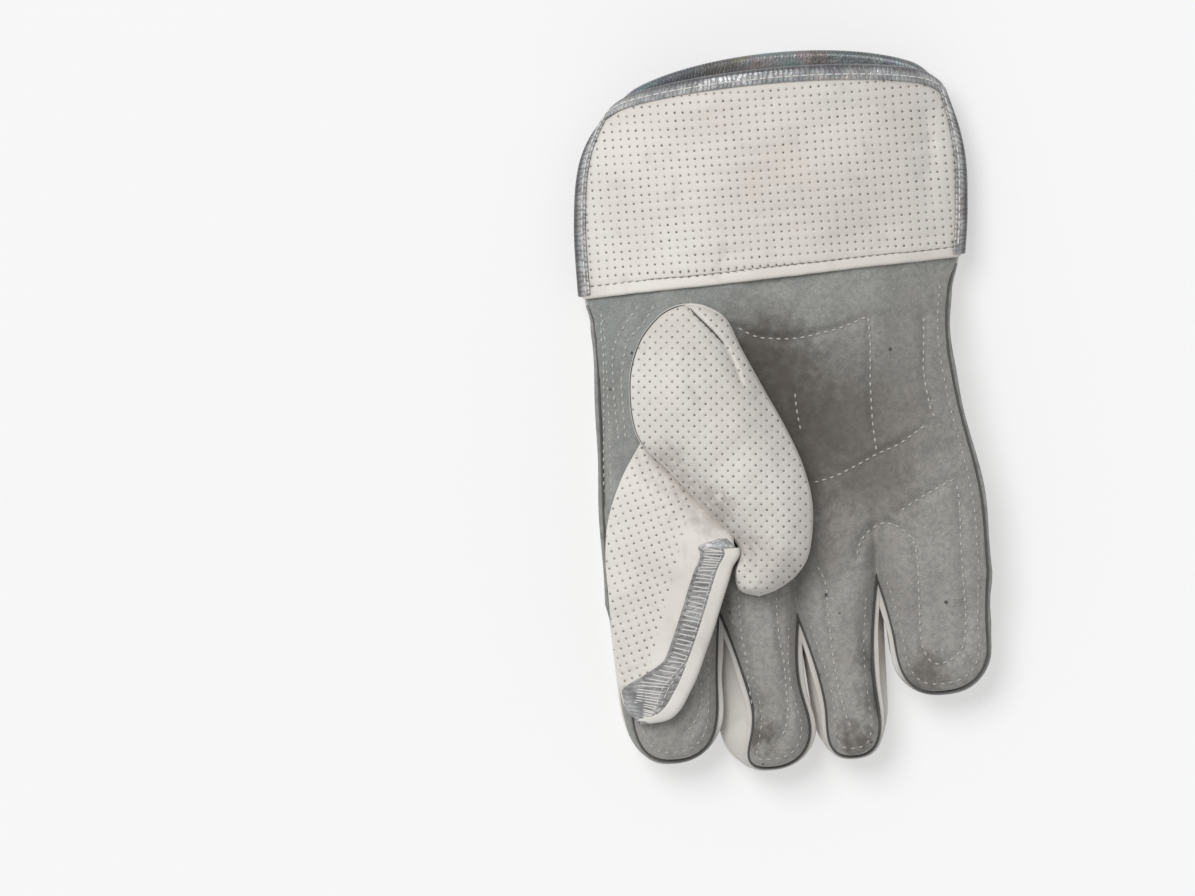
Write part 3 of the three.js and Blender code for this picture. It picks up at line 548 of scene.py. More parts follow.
def heights(grids, cell=1.5):
    """A function for a surface's height at a place: the mean of its points in each square cell, carried
    over empty cells, and read between the cells' middles."""
    points = np.concatenate([grid.reshape(-1, 3) for grid in grids])
    low = points[:, :2].min(0) - 6 * cell
    shape = tuple(((points[:, :2].max(0) + 6 * cell - low) / cell).astype(int) + 1)
    at = ((points[:, :2] - low) / cell).astype(int)
    index = at[:, 0] * shape[1] + at[:, 1]
    total = np.bincount(index, points[:, 2], shape[0] * shape[1]).reshape(shape)
    count = np.bincount(index, minlength=shape[0] * shape[1]).reshape(shape)
    level = np.where(count > 0, total / np.maximum(count, 1), np.nan)
    for _ in range(5):
        near = np.stack([np.roll(level, step, axis) for step in (1, -1) for axis in (0, 1)])
        known = ~np.isnan(near)
        mean = np.where(known, near, 0).sum(0) / np.maximum(known.sum(0), 1)
        level = np.where(np.isnan(level) & known.any(0), mean, level)
    level = np.where(np.isnan(level), BACK_LIFT, level)

    def read(x, y):
        gx = np.clip((x - low[0]) / cell - 0.5, 0, shape[0] - 1.001)
        gy = np.clip((y - low[1]) / cell - 0.5, 0, shape[1] - 1.001)
        i, j = gx.astype(int), gy.astype(int)
        near_row, far_row = (lerp(level[i, row], level[i + 1, row], gx - i) for row in (j, j + 1))
        return lerp(near_row, far_row, gy - j)

    return read


def threads(name, runs, thick, material, taper=4):
    """Sewn threads, joined: each run of points in an array (threads, points, 3) is a closed tube, which
    narrows at both ends as (1 - |2t - 1|^taper)^0.5."""
    t = np.linspace(0, 1, runs.shape[1])
    radius = thick / 2 * np.sqrt(np.maximum(1 - np.abs(2 * t - 1) ** taper, 0.05))
    along = unit(np.gradient(runs, axis=1))
    side = unit(np.cross(along, (0, 0, 1.0)) + (1e-9, 0, 0))
    rise = np.cross(side, along)
    turn = np.linspace(0, 2 * np.pi, THREAD_SIDES, endpoint=False)[:, None]
    ring = side[:, :, None] * np.cos(turn) + rise[:, :, None] * np.sin(turn)
    points = runs[:, :, None] + ring * radius[None, :, None, None]
    index = np.arange(points[..., 0].size).reshape(points.shape[:3])
    a, b = index[:, :-1], index[:, 1:]
    quads = np.stack([a, b, np.roll(b, -1, 2), np.roll(a, -1, 2)], -1).reshape(-1, 4)
    mesh = bpy.data.meshes.new(name)
    faces = quads.tolist() + index[:, 0].tolist() + index[:, -1, ::-1].tolist()
    mesh.from_pydata((points.reshape(-1, 3) * MM).tolist(), [], faces)
    return finished(name, mesh, material)


def dashes(line, dash=2.1, gap=1.5, height=None, up=1):
    """Runs of points for stitches along a line: each rises out of the leather and dips back in, at the
    height of a surface or of the line itself."""
    run = lengths(line[:, :2])
    starts = np.arange(gap / 2, run[-1] - dash, dash + gap)
    t = np.linspace(0, 1, 6)
    s = starts[:, None] + dash * t
    x, y = np.interp(s, run, line[:, 0]), np.interp(s, run, line[:, 1])
    level = height(x, y) if height else np.interp(s, run, line[:, 2])
    return np.stack([x, y, level + up * (0.3 * np.sin(np.pi * t) - 0.14)], -1)


def thread_finish(name, *colour):
    """Twisted thread: fine slanting waves along it."""
    made, place = blank(name, "white_leather", Roughness=0.6)
    twist = add(place, "TexWave", {"Vector": place, "Scale": 900.0, "Distortion": 2.0}).outputs[1]
    return covered(made, mixed(twist, dyed(1, *colour), dyed(0.8, *colour)), twist, 0.0001)


def pillowed(grid):
    """Palm points raised by 0.9 exp(-(d / 9)^2) - 1.9 exp(-(d / 2.4)^2) at a distance d from the stitch
    lines, and by the folds and the leather's waves."""
    x, y = grid[..., 0], grid[..., 1]
    gaps = np.min([distance_to(x, y, line) for line in quilt_lines], axis=0)
    rise = 0.9 * np.exp(-((gaps / 9) ** 2)) - 1.9 * np.exp(-((gaps / 2.4) ** 2))
    for ax, ay, bx, by, width, height in FOLDS:
        run = np.array([bx - ax, by - ay], float)
        length = np.hypot(*run)
        s = ((x - ax) * run[0] + (y - ay) * run[1]) / length
        off = ((y - ay) * run[0] - (x - ax) * run[1]) / length + 1.5 * np.sin(s / 9)
        rise = rise + height * np.exp(-((off / width) ** 2)) * smooth(s, 0, 14) * smooth(length - s, 0, 14)
    rise = rise + crumple(x, y, 22, 0.28, 8) + crumple(x, y, 7, 0.08, 5)
    return np.concatenate([grid[..., :2], (grid[..., 2] + rise)[..., None]], -1)


def round_hole(points):
    """Which points lie outside the oval where the thumb passes through the palm."""
    a = ((points[:, 0] - SHIFT_X) / GLOVE_WIDTH - HOLE["x"]) / HOLE["radius_x"]
    b = ((points[:, 1] - SHIFT_Y) / GLOVE_LENGTH - HOLE["y"]) / HOLE["radius_y"]
    return a * a + b * b >= 1


# The suede's nap is fine flecks and clumps, cooler towards the thumb's root, with brushed patches and specks.
fuzz = dict(Roughness=0.95, Sheen_Weight=0.35, Sheen_Roughness=0.4)
suede, place = blank("grey_suede_leather", "grey_suede", **fuzz)
x, y = add(place, "SeparateXYZ", {0: place}).outputs[:2]
slope = ranged(reckoned("SUBTRACT", x, y), -0.12, 0.08)
colour = mixed(slope, (0.235, 0.252, 0.243, 1), (0.300, 0.284, 0.262, 1))
laid_nap = add(place, "Mapping", {"Vector": place, "Scale": (1.0, 0.45, 1.0), "Rotation": (0, 0, 0.5)})
colour = mottled(colour, (0.385, 0.378, 0.355, 1), 0.5, laid_nap.outputs[0], 45.0, 0.38, 0.66, 6.0, 0.8)
clumps = ranged(noise(place, 420.0, 5.0), 0.42, 0.62, 0.0, 0.55)
colour = mixed(clumps, colour, (0.20, 0.205, 0.196, 1))
colour = mottled(colour, (0.52, 0.52, 0.50, 1), 0.42, place, 1300.0, 0.58, 0.7, 2.0)
specks = add(place, "TexVoronoi", {"Vector": place, "Scale": 70.0}).outputs[0]
colour = mixed(ranged(specks, 0.045, 0.075, 0.85, 0.0), colour, (0.045, 0.04, 0.036, 1))
# Painted shade and handling marks darken the suede in ragged patches.
colour = shaded_and_stained(colour, place, PALM_SHADE_AND_STAINS, (0.085, 0.072, 0.06, 1))
covered(suede, colour, reckoned("ADD", noise(place, 900.0, 6.0), reckoned("MULTIPLY", clumps, 0.5)), 0.00028)

quilt_lines = [drawn(points) for points in QUILTING]
palm_grids = []
for k in range(4):
    stations = np.concatenate([np.linspace(SEAM - 0.2, KNUCKLES, 150), finger_stations(k)])
    palm_grids.append(pillowed(hand("palm", k, np.linspace(0, 1, 45)[None], stations[:, None])))
palm_height = heights(palm_grids)
palm = panel("palm_suede", "palm_panel", palm_grids, -PALM_WALL, 0, flat_cut, suede, round_hole)
white_thread = thread_finish("white_thread", 0.60, 0.58, 0.54)
quilting = np.concatenate([dashes(line, height=palm_height) for line in quilt_lines])
threads("palm_stitches", quilting, 0.85, white_thread)

# The side walls
# A strip of plain white leather joins the palm to the back round each finger. Its seams are sewn with the
# raw edges outwards, so a narrow flange of white leather stands out past the suede.
SIDE_WALL = 1.3
FLANGE = 2.7
TIP_FLANGE = 1.3
SIDE_ROOM = 0.5
plain_leather = white_leather("plain_leather", False, 0.97)
gusset_leather = white_leather("gusset_leather", False, 0.9, wraps=True)


def outline(k):
    """The border of strip k as shares across it and stations, from its index side round the tip to the other
    side. The outermost strips also run up the hand to the cuff."""
    rows = finger_stations(k)
    body, knuckle = np.linspace(SEAM + 0.15, KNUCKLES, 60), np.array([float(KNUCKLES)])
    near = np.concatenate([body if k == 0 else knuckle, rows])
    far = np.concatenate([body if k == 3 else knuckle, rows[:-1]])[::-1]
    return np.concatenate([np.zeros(len(near)), np.ones(len(far))]), np.concatenate([near, far])


def to_the_left(path):
    """Level unit vectors to the left of a path."""
    along = np.gradient(path, axis=0)
    return unit(np.stack([-along[:, 1], along[:, 0], np.zeros(len(path))], -1))


edge_stitches, raw_edges_and_gap_shade = [], []
half = SIDE_WALL / 2
for k, finger in enumerate(FINGER_NAMES):
    u, station = outline(k)
    outer = (u == 0) if k == 0 else (u == 1) if k == 3 else np.zeros(len(u), bool)
    tip = smooth(station - KNUCKLES, 0.72, 0.95)
    outer_wide = lerp(0.6, 2.0, smooth(station, SEAM, SEAM + 0.8))
    wide = lerp(np.where(outer, outer_wide, FLANGE), TIP_FLANGE, tip)
    white = lerp(np.where(outer, 0.0, 1.0), 0.1 if k in (0, 3) else 0.75, tip)
    palm_edge = hand("palm", k, u, station)
    low = hand("back", k, u, station) + (0, 0, BACK_WALL + 0.2)
    high = palm_edge - (0, 0, PALM_WALL + SIDE_ROOM)
    inward, top_in = to_the_left(low), to_the_left(high)
    wave = 0.25 * np.sin(np.arange(len(high)) / 3.1 + k)
    rows = []
    for v in np.linspace(0, 1, 9):
        bow = 1.7 * np.sin(np.pi * v) - 0.9
        rows.append(lerp(low, high - (0, 0, 1.2), v) - inward * bow)
    for out, rise in ((-0.15, 0.5), (0.2, 0.95), (0.55, 1.1), (1, 0.9)):
        rows.append(high - top_in * (out * wide + wave * (out > 0.5))[:, None] + (0, 0, rise - 1.2))
    grid = np.stack(rows, 1)
    where = np.broadcast_to(np.stack([white, station], -1)[:, None], (*grid.shape[:2], 2))
    panel(finger + "_gusset", finger + "_side_wall", [grid], -half, half, where, gusset_leather)
    # Under each palm edge a dark tube: the suede's dark cut edge and painted shade in the gap beneath it.
    raw_edges_and_gap_shade.append(drawn((palm_edge - top_in * 0.5)[::3] - (0, 0, 0.8), 1.2))
    edge_stitches.append(dashes((palm_edge + top_in * 3.2)[4:-4], 1.9, 1.9, palm_height))
threads("edge_stitches", np.concatenate(edge_stitches), 0.62, white_thread)
# A dark finish for the suede's cut edges and for lines of painted shade.
cut_suede_and_shade_line = thread_finish("cut_suede_and_shade_line", 0.10, 0.10, 0.095)
for finger, line in zip(FINGER_NAMES, raw_edges_and_gap_shade):
    threads(finger + "_raw_edge", line[None], 1.3, cut_suede_and_shade_line, taper=60)

# The cuff's front
# A padded piece of the same perforated leather covers the wrist. Its lower edge is turned in and lies over
# the suede, sewn down with one line of stitches.
CUFF_WALL = 2.4
CLEARANCE = 0.3
CUFF_TOP = CLEARANCE + CUFF_WALL
HEM_STATION = SEAM - 0.14
HEM_ROW = -7
HEM_HEIGHT = 3.4


def on_face(side, k, u, station, lift):
    """Points raised by a lift along the face's normal, the cross product of its slopes across and along the
    strip, taken at least 0.03 from the strip's sides."""
    step, inner = 0.01, np.clip(u, 0.03, 0.97)
    slope_across = hand(side, k, inner + 0.03, station) - hand(side, k, inner - 0.03, station)
    slope_along = hand(side, k, inner, station - step) - hand(side, k, inner, station + step)
    return hand(side, k, u, station) + unit(np.cross(slope_across, slope_along)) * lift


def across_hand(side, station, lift, ends):
    """A line across all four strips of a face, raised by a lift along its normals."""
    shares = np.linspace(*ends, 260)
    strip = np.minimum((shares * 4).astype(int), 3)
    return np.concatenate([on_face(side, k, shares[strip == k] * 4 - k, station, lift) for k in range(4)])


cuff_grids, hem_line = [], []
stations = np.linspace(0, SEAM, 130)[:, None]
for k in range(4):
    grid = hand("palm", k, STRIP_SHARES[None], stations)
    x, y = grid[..., 0], grid[..., 1]
    hem = (HEM_STATION - stations) / 0.045
    dent = np.exp(-(((x - 65) / 7) ** 2) - ((y - 116) / 32) ** 2)
    share = (k + STRIP_SHARES[None]) / 4
    calm = smooth(np.minimum(share, 1 - share), 0.02, 0.09) * smooth(stations, 0.15, 0.5)
    wave = crumple(x, y, 38, 0.8, 12) + crumple(x, y, 9, 0.3, 2) * (0.4 + dent) - 3.2 * dent
    grid[..., 2] += calm * wave - 0.6 * np.exp(-(hem**2))
    cuff_grids.append(grid)
    at = "palm", k, STRIP_SHARES, HEM_STATION
    hem_line.append((grid[HEM_ROW] + on_face(*at, CUFF_TOP + 0.05) - hand(*at))[:-1])
hem_start, hem_end = hand("palm", 0, 0.0, float(SEAM)), hand("palm", 3, 1.0, float(SEAM))
hem_slope = (hem_end - hem_start)[1] / (hem_end - hem_start)[0]
hem_level = hem_start[1] - hem_slope * hem_start[0] + HEM_HEIGHT
hemmed_leather = white_leather("punched_and_hemmed_leather", True, hem=(hem_slope, hem_level))
cuff_cut = cut_at(0.997, 0.078)
cuff = panel("cuff_leather", "cuff_front_panel", cuff_grids, CLEARANCE, CUFF_TOP, cuff_cut, hemmed_leather)
grey_thread = thread_finish("grey_thread", 0.27, 0.25, 0.23)
threads("cuff_hem_stitches", dashes(np.concatenate(hem_line)[2:-2], 2.2, 1.2), 0.48, grey_thread)

# The cuff's bindings
# Strips of silver film on leather are folded over the cuff's raw edges and sewn through: one on the rim of
# each layer, and one down each side round both. The film is ribbed across and shifts in colour.
BINDING_WIDTH = 4.2
BINDING_WALL = 0.9
BINDING_ROOM = 0.25
FOLD_DEPTHS = (0, 1.2, 2.8, BINDING_WIDTH)
FOLD_TURNS = np.radians([65, 40, 15, -15, -40, -65])
RAINBOW = (
    (0.3, (0.62, 0.42, 0.66, 1)),
    (0.4, (0.36, 0.50, 0.74, 1)),
    (0.5, (0.40, 0.68, 0.66, 1)),
    (0.6, (0.72, 0.56, 0.60, 1)),
    (0.7, (0.70, 0.66, 0.38, 1)),
)


def film_finish(name, colourful, rib, metal, shade=1.0, ribbed=0.55, rib_tone=0.13, darkening=0.0, wander=0.8,
                middle=None, vivid=1.0, stretch=(1, 1, 1), square=False):
    """Silver film with ribs across it every few millimetres, which may wander, and rainbow patches. Where
    it has a fold darkening, painted shade darkens it round the fold, from 4 to 15 mm across. Where it
    has a middle in millimetres across, its colours lie there, and its edges are browner. A square film's
    ribs run level."""
    made, place = blank(name, "silver_film", Metallic=metal, Coat_Weight=0.4, Coat_Roughness=0.15)
    if square:
        pattern = add(place, "VectorMath", {0: place, "Scale": 1 / MM}, operation="SCALE")
    else:
        pattern = add(place, "UVMap", uv_map="cut")
    across, along = add(place, "SeparateXYZ", {0: pattern.outputs[0]}).outputs[:2]
    dark, light = dyed(shade, 0.40, 0.39, 0.385), dyed(shade, 0.76, 0.75, 0.745)
    silver = mottled(dark, light, 1.0, place, 160.0, 0.38, 0.66, 6.0)
    patches = add(place, "Mapping", {"Vector": place, "Scale": stretch}).outputs[0]
    ramp = add(place, "ValToRGB", {0: noise(patches, 42.0, 2.0, 1.4)})
    stops = ramp.color_ramp.elements
    stops[0].position, stops[1].position = RAINBOW[0][0], RAINBOW[-1][0]
    for position, _ in RAINBOW[1:-1]:
        stops.new(position)
    for stop, (_, colour) in zip(stops, RAINBOW):
        stop.color = colour
    hue = add(place, "HueSaturation", {"Color": ramp.outputs[0], "Saturation": vivid}).outputs[0]
    where = ranged(noise(place, 30.0, 3.0), 0.38, 0.62, 0.2 * colourful, colourful)
    if middle:
        off = reckoned("ABSOLUTE", reckoned("SUBTRACT", across, middle))
        where = reckoned("MULTIPLY", where, ranged(off, 0.35 * middle, 0.75 * middle, 1.0, 0.2))
        silver = mixed(ranged(off, 0.4 * middle, 0.8 * middle, 0.0, 0.55), silver, (0.17, 0.15, 0.145, 1))
    colour = mixed(where, silver, hue)
    bent = ranged(noise(place, 170.0, 3.0), 0.3, 0.7, 0.0, wander)
    turn = reckoned("FRACT", reckoned("ADD", reckoned("DIVIDE", along, rib), bent))
    ridge = ranged(reckoned("ABSOLUTE", reckoned("SUBTRACT", turn, 0.5)), 0.3, 0.46)
    colour = mixed(reckoned("MULTIPLY", ridge, ribbed), colour, (rib_tone, rib_tone, 1.04 * rib_tone, 1))
    # Painted shade round the fold, where the strip turns over the edge away from the light.
    if darkening:
        fold = reckoned("MULTIPLY", ranged(across, 3.4, 5.0, 0.0, darkening), ranged(across, 13.0, 16.0, 1.0, 0.0))
        colour = mixed(fold, colour, (0.05, 0.048, 0.056, 1))
    rough = ranged(noise(place, 300.0, 6.0), 0.3, 0.7, 0.22, 0.5)
    return covered(made, colour, reckoned("SUBTRACT", noise(place, 520.0, 3.0), ridge), 0.0003, rough)


def bound(name, node, low_edge, low_inside, high_edge, high_inside, film):
    """A strip folded over an edge: flat on the upper layer, round the edge as a squashed half circle and back
    under the lower layer. The edge's two lines and two lines inside it give the way in."""
    way = unit(high_edge - high_inside)
    way_low = unit(low_edge - low_inside)
    middle, half = (high_edge + low_edge) / 2, (high_edge - low_edge) / 2
    depth = np.minimum(np.linalg.norm(half, axis=1), 2.0)[:, None]
    level = unit(way * (1, 1, 0))
    rows = [high_edge - way * inside for inside in FOLD_DEPTHS[::-1]]
    rows += [middle + half * np.sin(a) + level * depth * np.cos(a) ** 0.6 for a in FOLD_TURNS]
    rows += [low_edge - way_low * inside for inside in FOLD_DEPTHS]
    grid = np.stack(rows, 1)
    turn = lengths(grid[len(grid) // 2])
    where = np.stack(np.broadcast_arrays(turn[None], lengths(high_edge)[:, None]), -1)
    return panel(name, node, [grid], 0, BINDING_WALL, where, film)


def rim_binding(side, name, low, high, film):
    """The binding of one layer's rim, from one side of the cuff to the other."""
    lines = [across_hand(side, row, lift, (0.002, 0.998)) for lift in (low, high) for row in (0, 0.16)]
    return bound(name + "_trim", name + "_binding", *lines, film)


def side_binding(k, edge, inside):
    """The binding down one side of the cuff, round the back and the front, from just past the rim."""
    stations = np.linspace(-0.07, SEAM - 0.02, 150)
    stations = stations[::-1] if k == 0 else stations
    back_line = [on_face("back", k, u, stations, -0.2) for u in (edge, inside)]
    front_line = [on_face("palm", k, u, stations, CUFF_TOP + BINDING_ROOM) for u in (edge, inside)]
    finger = FINGER_NAMES[k]
    names = f"cuff_{finger}_trim", "cuff_side_binding_" + finger
    return bound(*names, *back_line, *front_line, binding_film)


# The binding's fold darkening is painted shade where it turns over the cuff's edges.
binding_film = film_finish("binding_film", colourful=0.14, rib=2.3, metal=0.45, shade=0.72, ribbed=0.4,
                           darkening=0.75)
# The rim film's very low shade is painted shade inside the cuff's mouth, over the film's own dark mottling.
rim_film = film_finish("rim_film", colourful=0.3, rib=1.5, metal=0.4, shade=0.13, ribbed=0.5, rib_tone=0.42)
rim_binding("palm", "cuff_front", 0.0, CUFF_TOP + BINDING_ROOM, binding_film)
rim_binding("back", "cuff_back", -0.1, BACK_WALL + 0.2, rim_film)
side_binding(0, 0, 0.09)
side_binding(3, 1, 0.91)
BINDING_TOP = CUFF_TOP + BINDING_WALL + 0.35
down = np.linspace(0.1, 2.97, 160)
bright_thread = thread_finish("bright_thread", 0.80, 0.78, 0.75)
sewn = [
    across_hand("palm", 0.07, BINDING_TOP, (0.012, 0.988)),
    on_face("palm", 0, 0.05, down, BINDING_TOP),
    on_face("palm", 3, 0.95, down, BINDING_TOP),
]
sewn = np.concatenate([dashes(line, 3.4, 0.35) for line in sewn])
threads("cuff_binding_stitches", sewn, 0.75, bright_thread)

# The thumb
# The thumb stall folds over the palm. Its back is padded perforated leather, punched at 45 degrees, with a
# seam at its root where a narrow plain gusset begins; plain leather closes its sides and suede its palm side.
THUMB_HEIGHT = 34
THUMB_WALL = 3
THUMB_INNER_WALL = 1.5
THUMB_SIDE_WALL = 1.5
DRAPE_ROOM = 0.9
THUMB = columns(
    "left_x left_y right_x right_y crown brim",
    (-0.228, 0.144, -0.228, 0.144, 0.2, 0.16),
    (-0.265, 0.14, -0.193, 0.14, 0.3, 0.2),
    (-0.307, 0.124, -0.147, 0.123, 0.48, 0.24),
    (-0.35, 0.088, -0.112, 0.083, 0.74, 0.32),
    (-0.37, 0.033, -0.058, 0.026, 0.92, 0.4),
    (-0.352, -0.038, -0.004, -0.03, 1.0, 0.44),
    (-0.281, -0.083, 0.037, -0.083, 1.0, 0.46),
    (-0.197, -0.135, 0.058, -0.137, 0.93, 0.46),
    (-0.112, -0.19, 0.051, -0.197, 0.8, 0.44),
    (-0.118, -0.228, 0.024, -0.228, 0.68, 0.41),
    (-0.108, -0.251, -0.022, -0.249, 0.55, 0.37),
    (-0.066, -0.259, -0.066, -0.259, 0.4, 0.34),
)
THUMB_END = 11
THUMB_INNER_START = 5
THUMB_SEAM = drawn([(-43, 47), (-40, 43), (-35, 38), (-31, 34), (-26, 28), (-22, 20), (-19, 12)])
# Darker patches on the thumb: painted shade along the valley against the web and towards the tip, and
# handling marks.
THUMB_SHADE_AND_STAINS = (
    (-52, 34, 24, 0.3), (-24, -56, 20, 0.3), (-10, -66, 14, 0.3), (-53, -21, 9, 0.4), (-45, -30, 9, 0.45),
    (-36, -38, 9, 0.5), (-29, -46, 9, 0.55), (-20, -62, 10, 0.4),
)


def resting(height, near):
    """A function for the highest of a surface at a place and at four places near it."""
    steps = (0, 0), (1, 0), (0, 1), (-1, 0), (0, -1)
    return lambda x, y: np.max([height(x + a * near, y + b * near) for a, b in steps], axis=0)


def laid_out(x, y):
    """Millimetres from shares of the glove's width and length."""
    return x * GLOVE_WIDTH + SHIFT_X, y * GLOVE_LENGTH + SHIFT_Y


palm_top = resting(palm_height, 2.5)


def thumb_point(u, place):
    """A point of the thumb's back, u across it from left to right, as high above the palm as the brim at
    its edges and the crown in the middle."""
    u, place = np.broadcast_arrays(u, place)
    at = {name: between(THUMB[name], place) for name in THUMB}
    x, y = laid_out(lerp(at["left_x"], at["right_x"], u), lerp(at["left_y"], at["right_y"], u))
    ends = np.clip(np.minimum(place, THUMB_END - place), 0, 1) ** 0.5
    opened = (1 - nearness(np.minimum(u, 1 - u), 0.5)) * ends
    return np.stack([x, y, palm_top(x, y) + lerp(at["brim"], at["crown"], opened) * THUMB_HEIGHT], -1)


root_rows, tip_rows = np.linspace(0, 1, 12) ** 1.5, 10 + np.linspace(0, 1, 14)[1:] ** 0.8
thumb_rows = np.concatenate([root_rows, np.linspace(1, 10, 130)[1:], tip_rows])
thumb_columns = np.linspace(0, 1, 91)[None]
thumb_grid = thumb_point(thumb_columns, thumb_rows[:, None])
x, y = thumb_grid[..., 0].copy(), thumb_grid[..., 1].copy()
seam_gap = distance_to(x, y, THUMB_SEAM)
waves = crumple(x, y, 30, 0.5, 21) + crumple(x, y, 8, 0.1, 4)
thumb_grid[..., 2] += waves - 1.9 * np.exp(-((seam_gap / 1.1) ** 2))
thumb_grid[..., 2] += 0.9 * np.exp(-(((seam_gap - 5) / 3.5) ** 2))
thumb_height = heights([thumb_grid], 0.7)
# The thumb's leather carries painted shade by the web and the tip, and handling marks.
shaded_and_handled_leather = white_leather("punched_shaded_and_handled_leather", True, 0.97, shade_and_stains=THUMB_SHADE_AND_STAINS)
thumb_cut = cut_at(0.707, -0.707)
thumb = panel("thumb_leather", "thumb_back", [thumb_grid], -THUMB_WALL, 0, thumb_cut, shaded_and_handled_leather)
# A dark tube in the seam's groove is painted shade in the crease.
groove = THUMB_SEAM[2:30]
groove = np.column_stack([groove[:, :2], thumb_height(groove[:, 0], groove[:, 1]) + 0.25])
threads("thumb_seam_edge", groove[None], 0.9, cut_suede_and_shade_line, taper=2)

inner_grid = thumb_point(thumb_columns, np.linspace(THUMB_INNER_START, THUMB_END, 90)[:, None])
inner_grid[..., 2] = palm_top(inner_grid[..., 0], inner_grid[..., 1]) + DRAPE_ROOM
panel("thumb_suede", "thumb_inner", [inner_grid], 0, THUMB_INNER_WALL, flat_cut, suede)

wall_places = np.concatenate([thumb_rows, thumb_rows[1:-1][::-1], thumb_rows[:1]])
wall_shares = np.concatenate([np.zeros(len(thumb_rows)), np.ones(len(thumb_rows) - 2), [0.0]])
brim = thumb_point(wall_shares, wall_places)
inward = to_the_left(np.concatenate([brim[-4:-1], brim, brim[1:4]]))[3:-3]
inward[0] = inward[-1] = unit(inward[0] + inward[-1])
# A dark tube along the thumb's lower left brim is painted contact shadow where the thumb meets the palm.
shadowed_brim = (wall_shares == 0) & (wall_places > 0.3) & (wall_places < 5.4)
contact_shadow_line = drawn((brim - inward * 0.3)[shadowed_brim][::2] - (0, 0, THUMB_WALL), 1.2)
threads("thumb_raw_edge", contact_shadow_line[None], 0.9, cut_suede_and_shade_line)
foot = palm_top(brim[:, 0], brim[:, 1]) + DRAPE_ROOM + np.where(wall_places >= THUMB_INNER_START, 1.9, 0)
wall_rows = []
for v in np.linspace(0, 1, 9):
    row = brim + inward * (1.0 - 1.2 * np.sin(np.pi * v))
    row[:, 2] = lerp(foot, brim[:, 2] - THUMB_WALL - 0.2, v)
    wall_rows.append(row)
half = THUMB_SIDE_WALL / 2
panel("thumb_gusset", "thumb_side_wall", [np.stack(wall_rows, 1)], -half, half, flat_cut, plain_leather)

# The catching web
# A sheet of perforated leather stretched from the index finger to the thumb. Along its free edge runs a
# band of silver film held by slanting threads, and a folded strip of soft white leather binds the edge.
WEB_WALL = 1.6
BAND_WIDTH = 16
BAND_WALL = 0.8
BAND_LOW = WEB_WALL / 2 + 0.1
WEB_CORNER = 3
BAND_START = WEB_CORNER - 0.1
TUCK = 8.0
WEB = columns(
    "index_x index_y index_z free_x free_y free_z",
    (-0.345, -0.05, 0.82, -0.345, -0.05, 0.84),
    (-0.39, -0.1, 0.76, -0.274, -0.112, 0.92),
    (-0.42, -0.155, 0.68, -0.182, -0.166, 1.0),
    (-0.427, -0.204, 0.58, -0.124, -0.196, 1.06),
    (-0.421, -0.253, 0.48, -0.142, -0.225, 1.03),
    (-0.413, -0.302, 0.4, -0.171, -0.281, 0.97),
    (-0.402, -0.35, 0.37, -0.203, -0.338, 0.89),
    (-0.393, -0.39, 0.39, -0.238, -0.39, 0.82),
    (-0.378, -0.418, 0.48, -0.28, -0.427, 0.75),
    (-0.345, -0.437, 0.6, -0.345, -0.437, 0.65),
)
# Darker patches on the web: painted shade along its fold against the thumb, over tan soiling.
WEB_SHADE_AND_STAINS = (-60, -22, 12, 0.3), (-50, -33, 12, 0.35), (-41, -43, 12, 0.4), (-33, -52, 9, 0.45)
# No hole is punched beside the band, past a line of this slope and height.
WEB_HEM = (3.93, 121.0)
hand_top = resting(palm_height, 3.0)


def web_point(u, place):
    """A point of the web's middle layer, u across it from the index finger to the free edge, stretched
    over what it would pass through."""
    u, place = np.broadcast_arrays(u, place)
    at = {name: between(WEB[name], place) for name in WEB}
    x, y = laid_out(lerp(at["index_x"], at["free_x"], u), lerp(at["index_y"], at["free_y"], u))
    z = BACK_LIFT + HAND_HEIGHT * lerp(at["index_z"], at["free_z"], 1 - np.maximum(0, 1 - u) ** 2.2)
    return np.stack([x, y, np.maximum(z, hand_top(x, y) + WEB_WALL / 2 + CLEARANCE)], -1)


def web_rows(places, shares):
    """Rows of the web at shares of its width, where 1 to 2 is the band along its free edge. The band
    widens over the whole end of the web at the index fingertip."""
    ends = [web_point(np.full(len(places), u), places) for u in (0.0, 1.0)]
    width = np.maximum(np.linalg.norm(ends[1] - ends[0], axis=1), 1)[:, None]
    band = lerp(np.minimum(0.85, BAND_WIDTH / width), 0.96, smooth(places, 6.1, 7.2)[:, None])
    u = np.where(shares <= 1, shares * (1 - band), 1 - band + (shares - 1) * band)
    grid = web_point(u, places[:, None])
    x, y = grid[..., 0], grid[..., 1]
    grid[..., 2] += np.maximum(0, crumple(x, y, 26, 0.7, 31)) * np.minimum(1, 2 - shares)
    return grid


web_places = np.linspace(0, 9, 150)
web_grid = web_rows(web_places, np.concatenate([np.linspace(0, 1, 40), 1 + np.linspace(0, 1, 14)[1:]])[None])
tuck = (TUCK * smooth(web_places, 0.1, 0.8) * smooth(BAND_START - web_places, 0, 0.7))[:, None]
free_edge = web_grid[:, -1]
tuck_way = to_the_left(free_edge)
tucked = [free_edge + (tuck_way * t - (0, 0, 0.7 * t * t)) * tuck for t in np.linspace(0, 1, 9)[1:]]
web_grid = np.concatenate([web_grid, np.stack(tucked, 1)], 1)
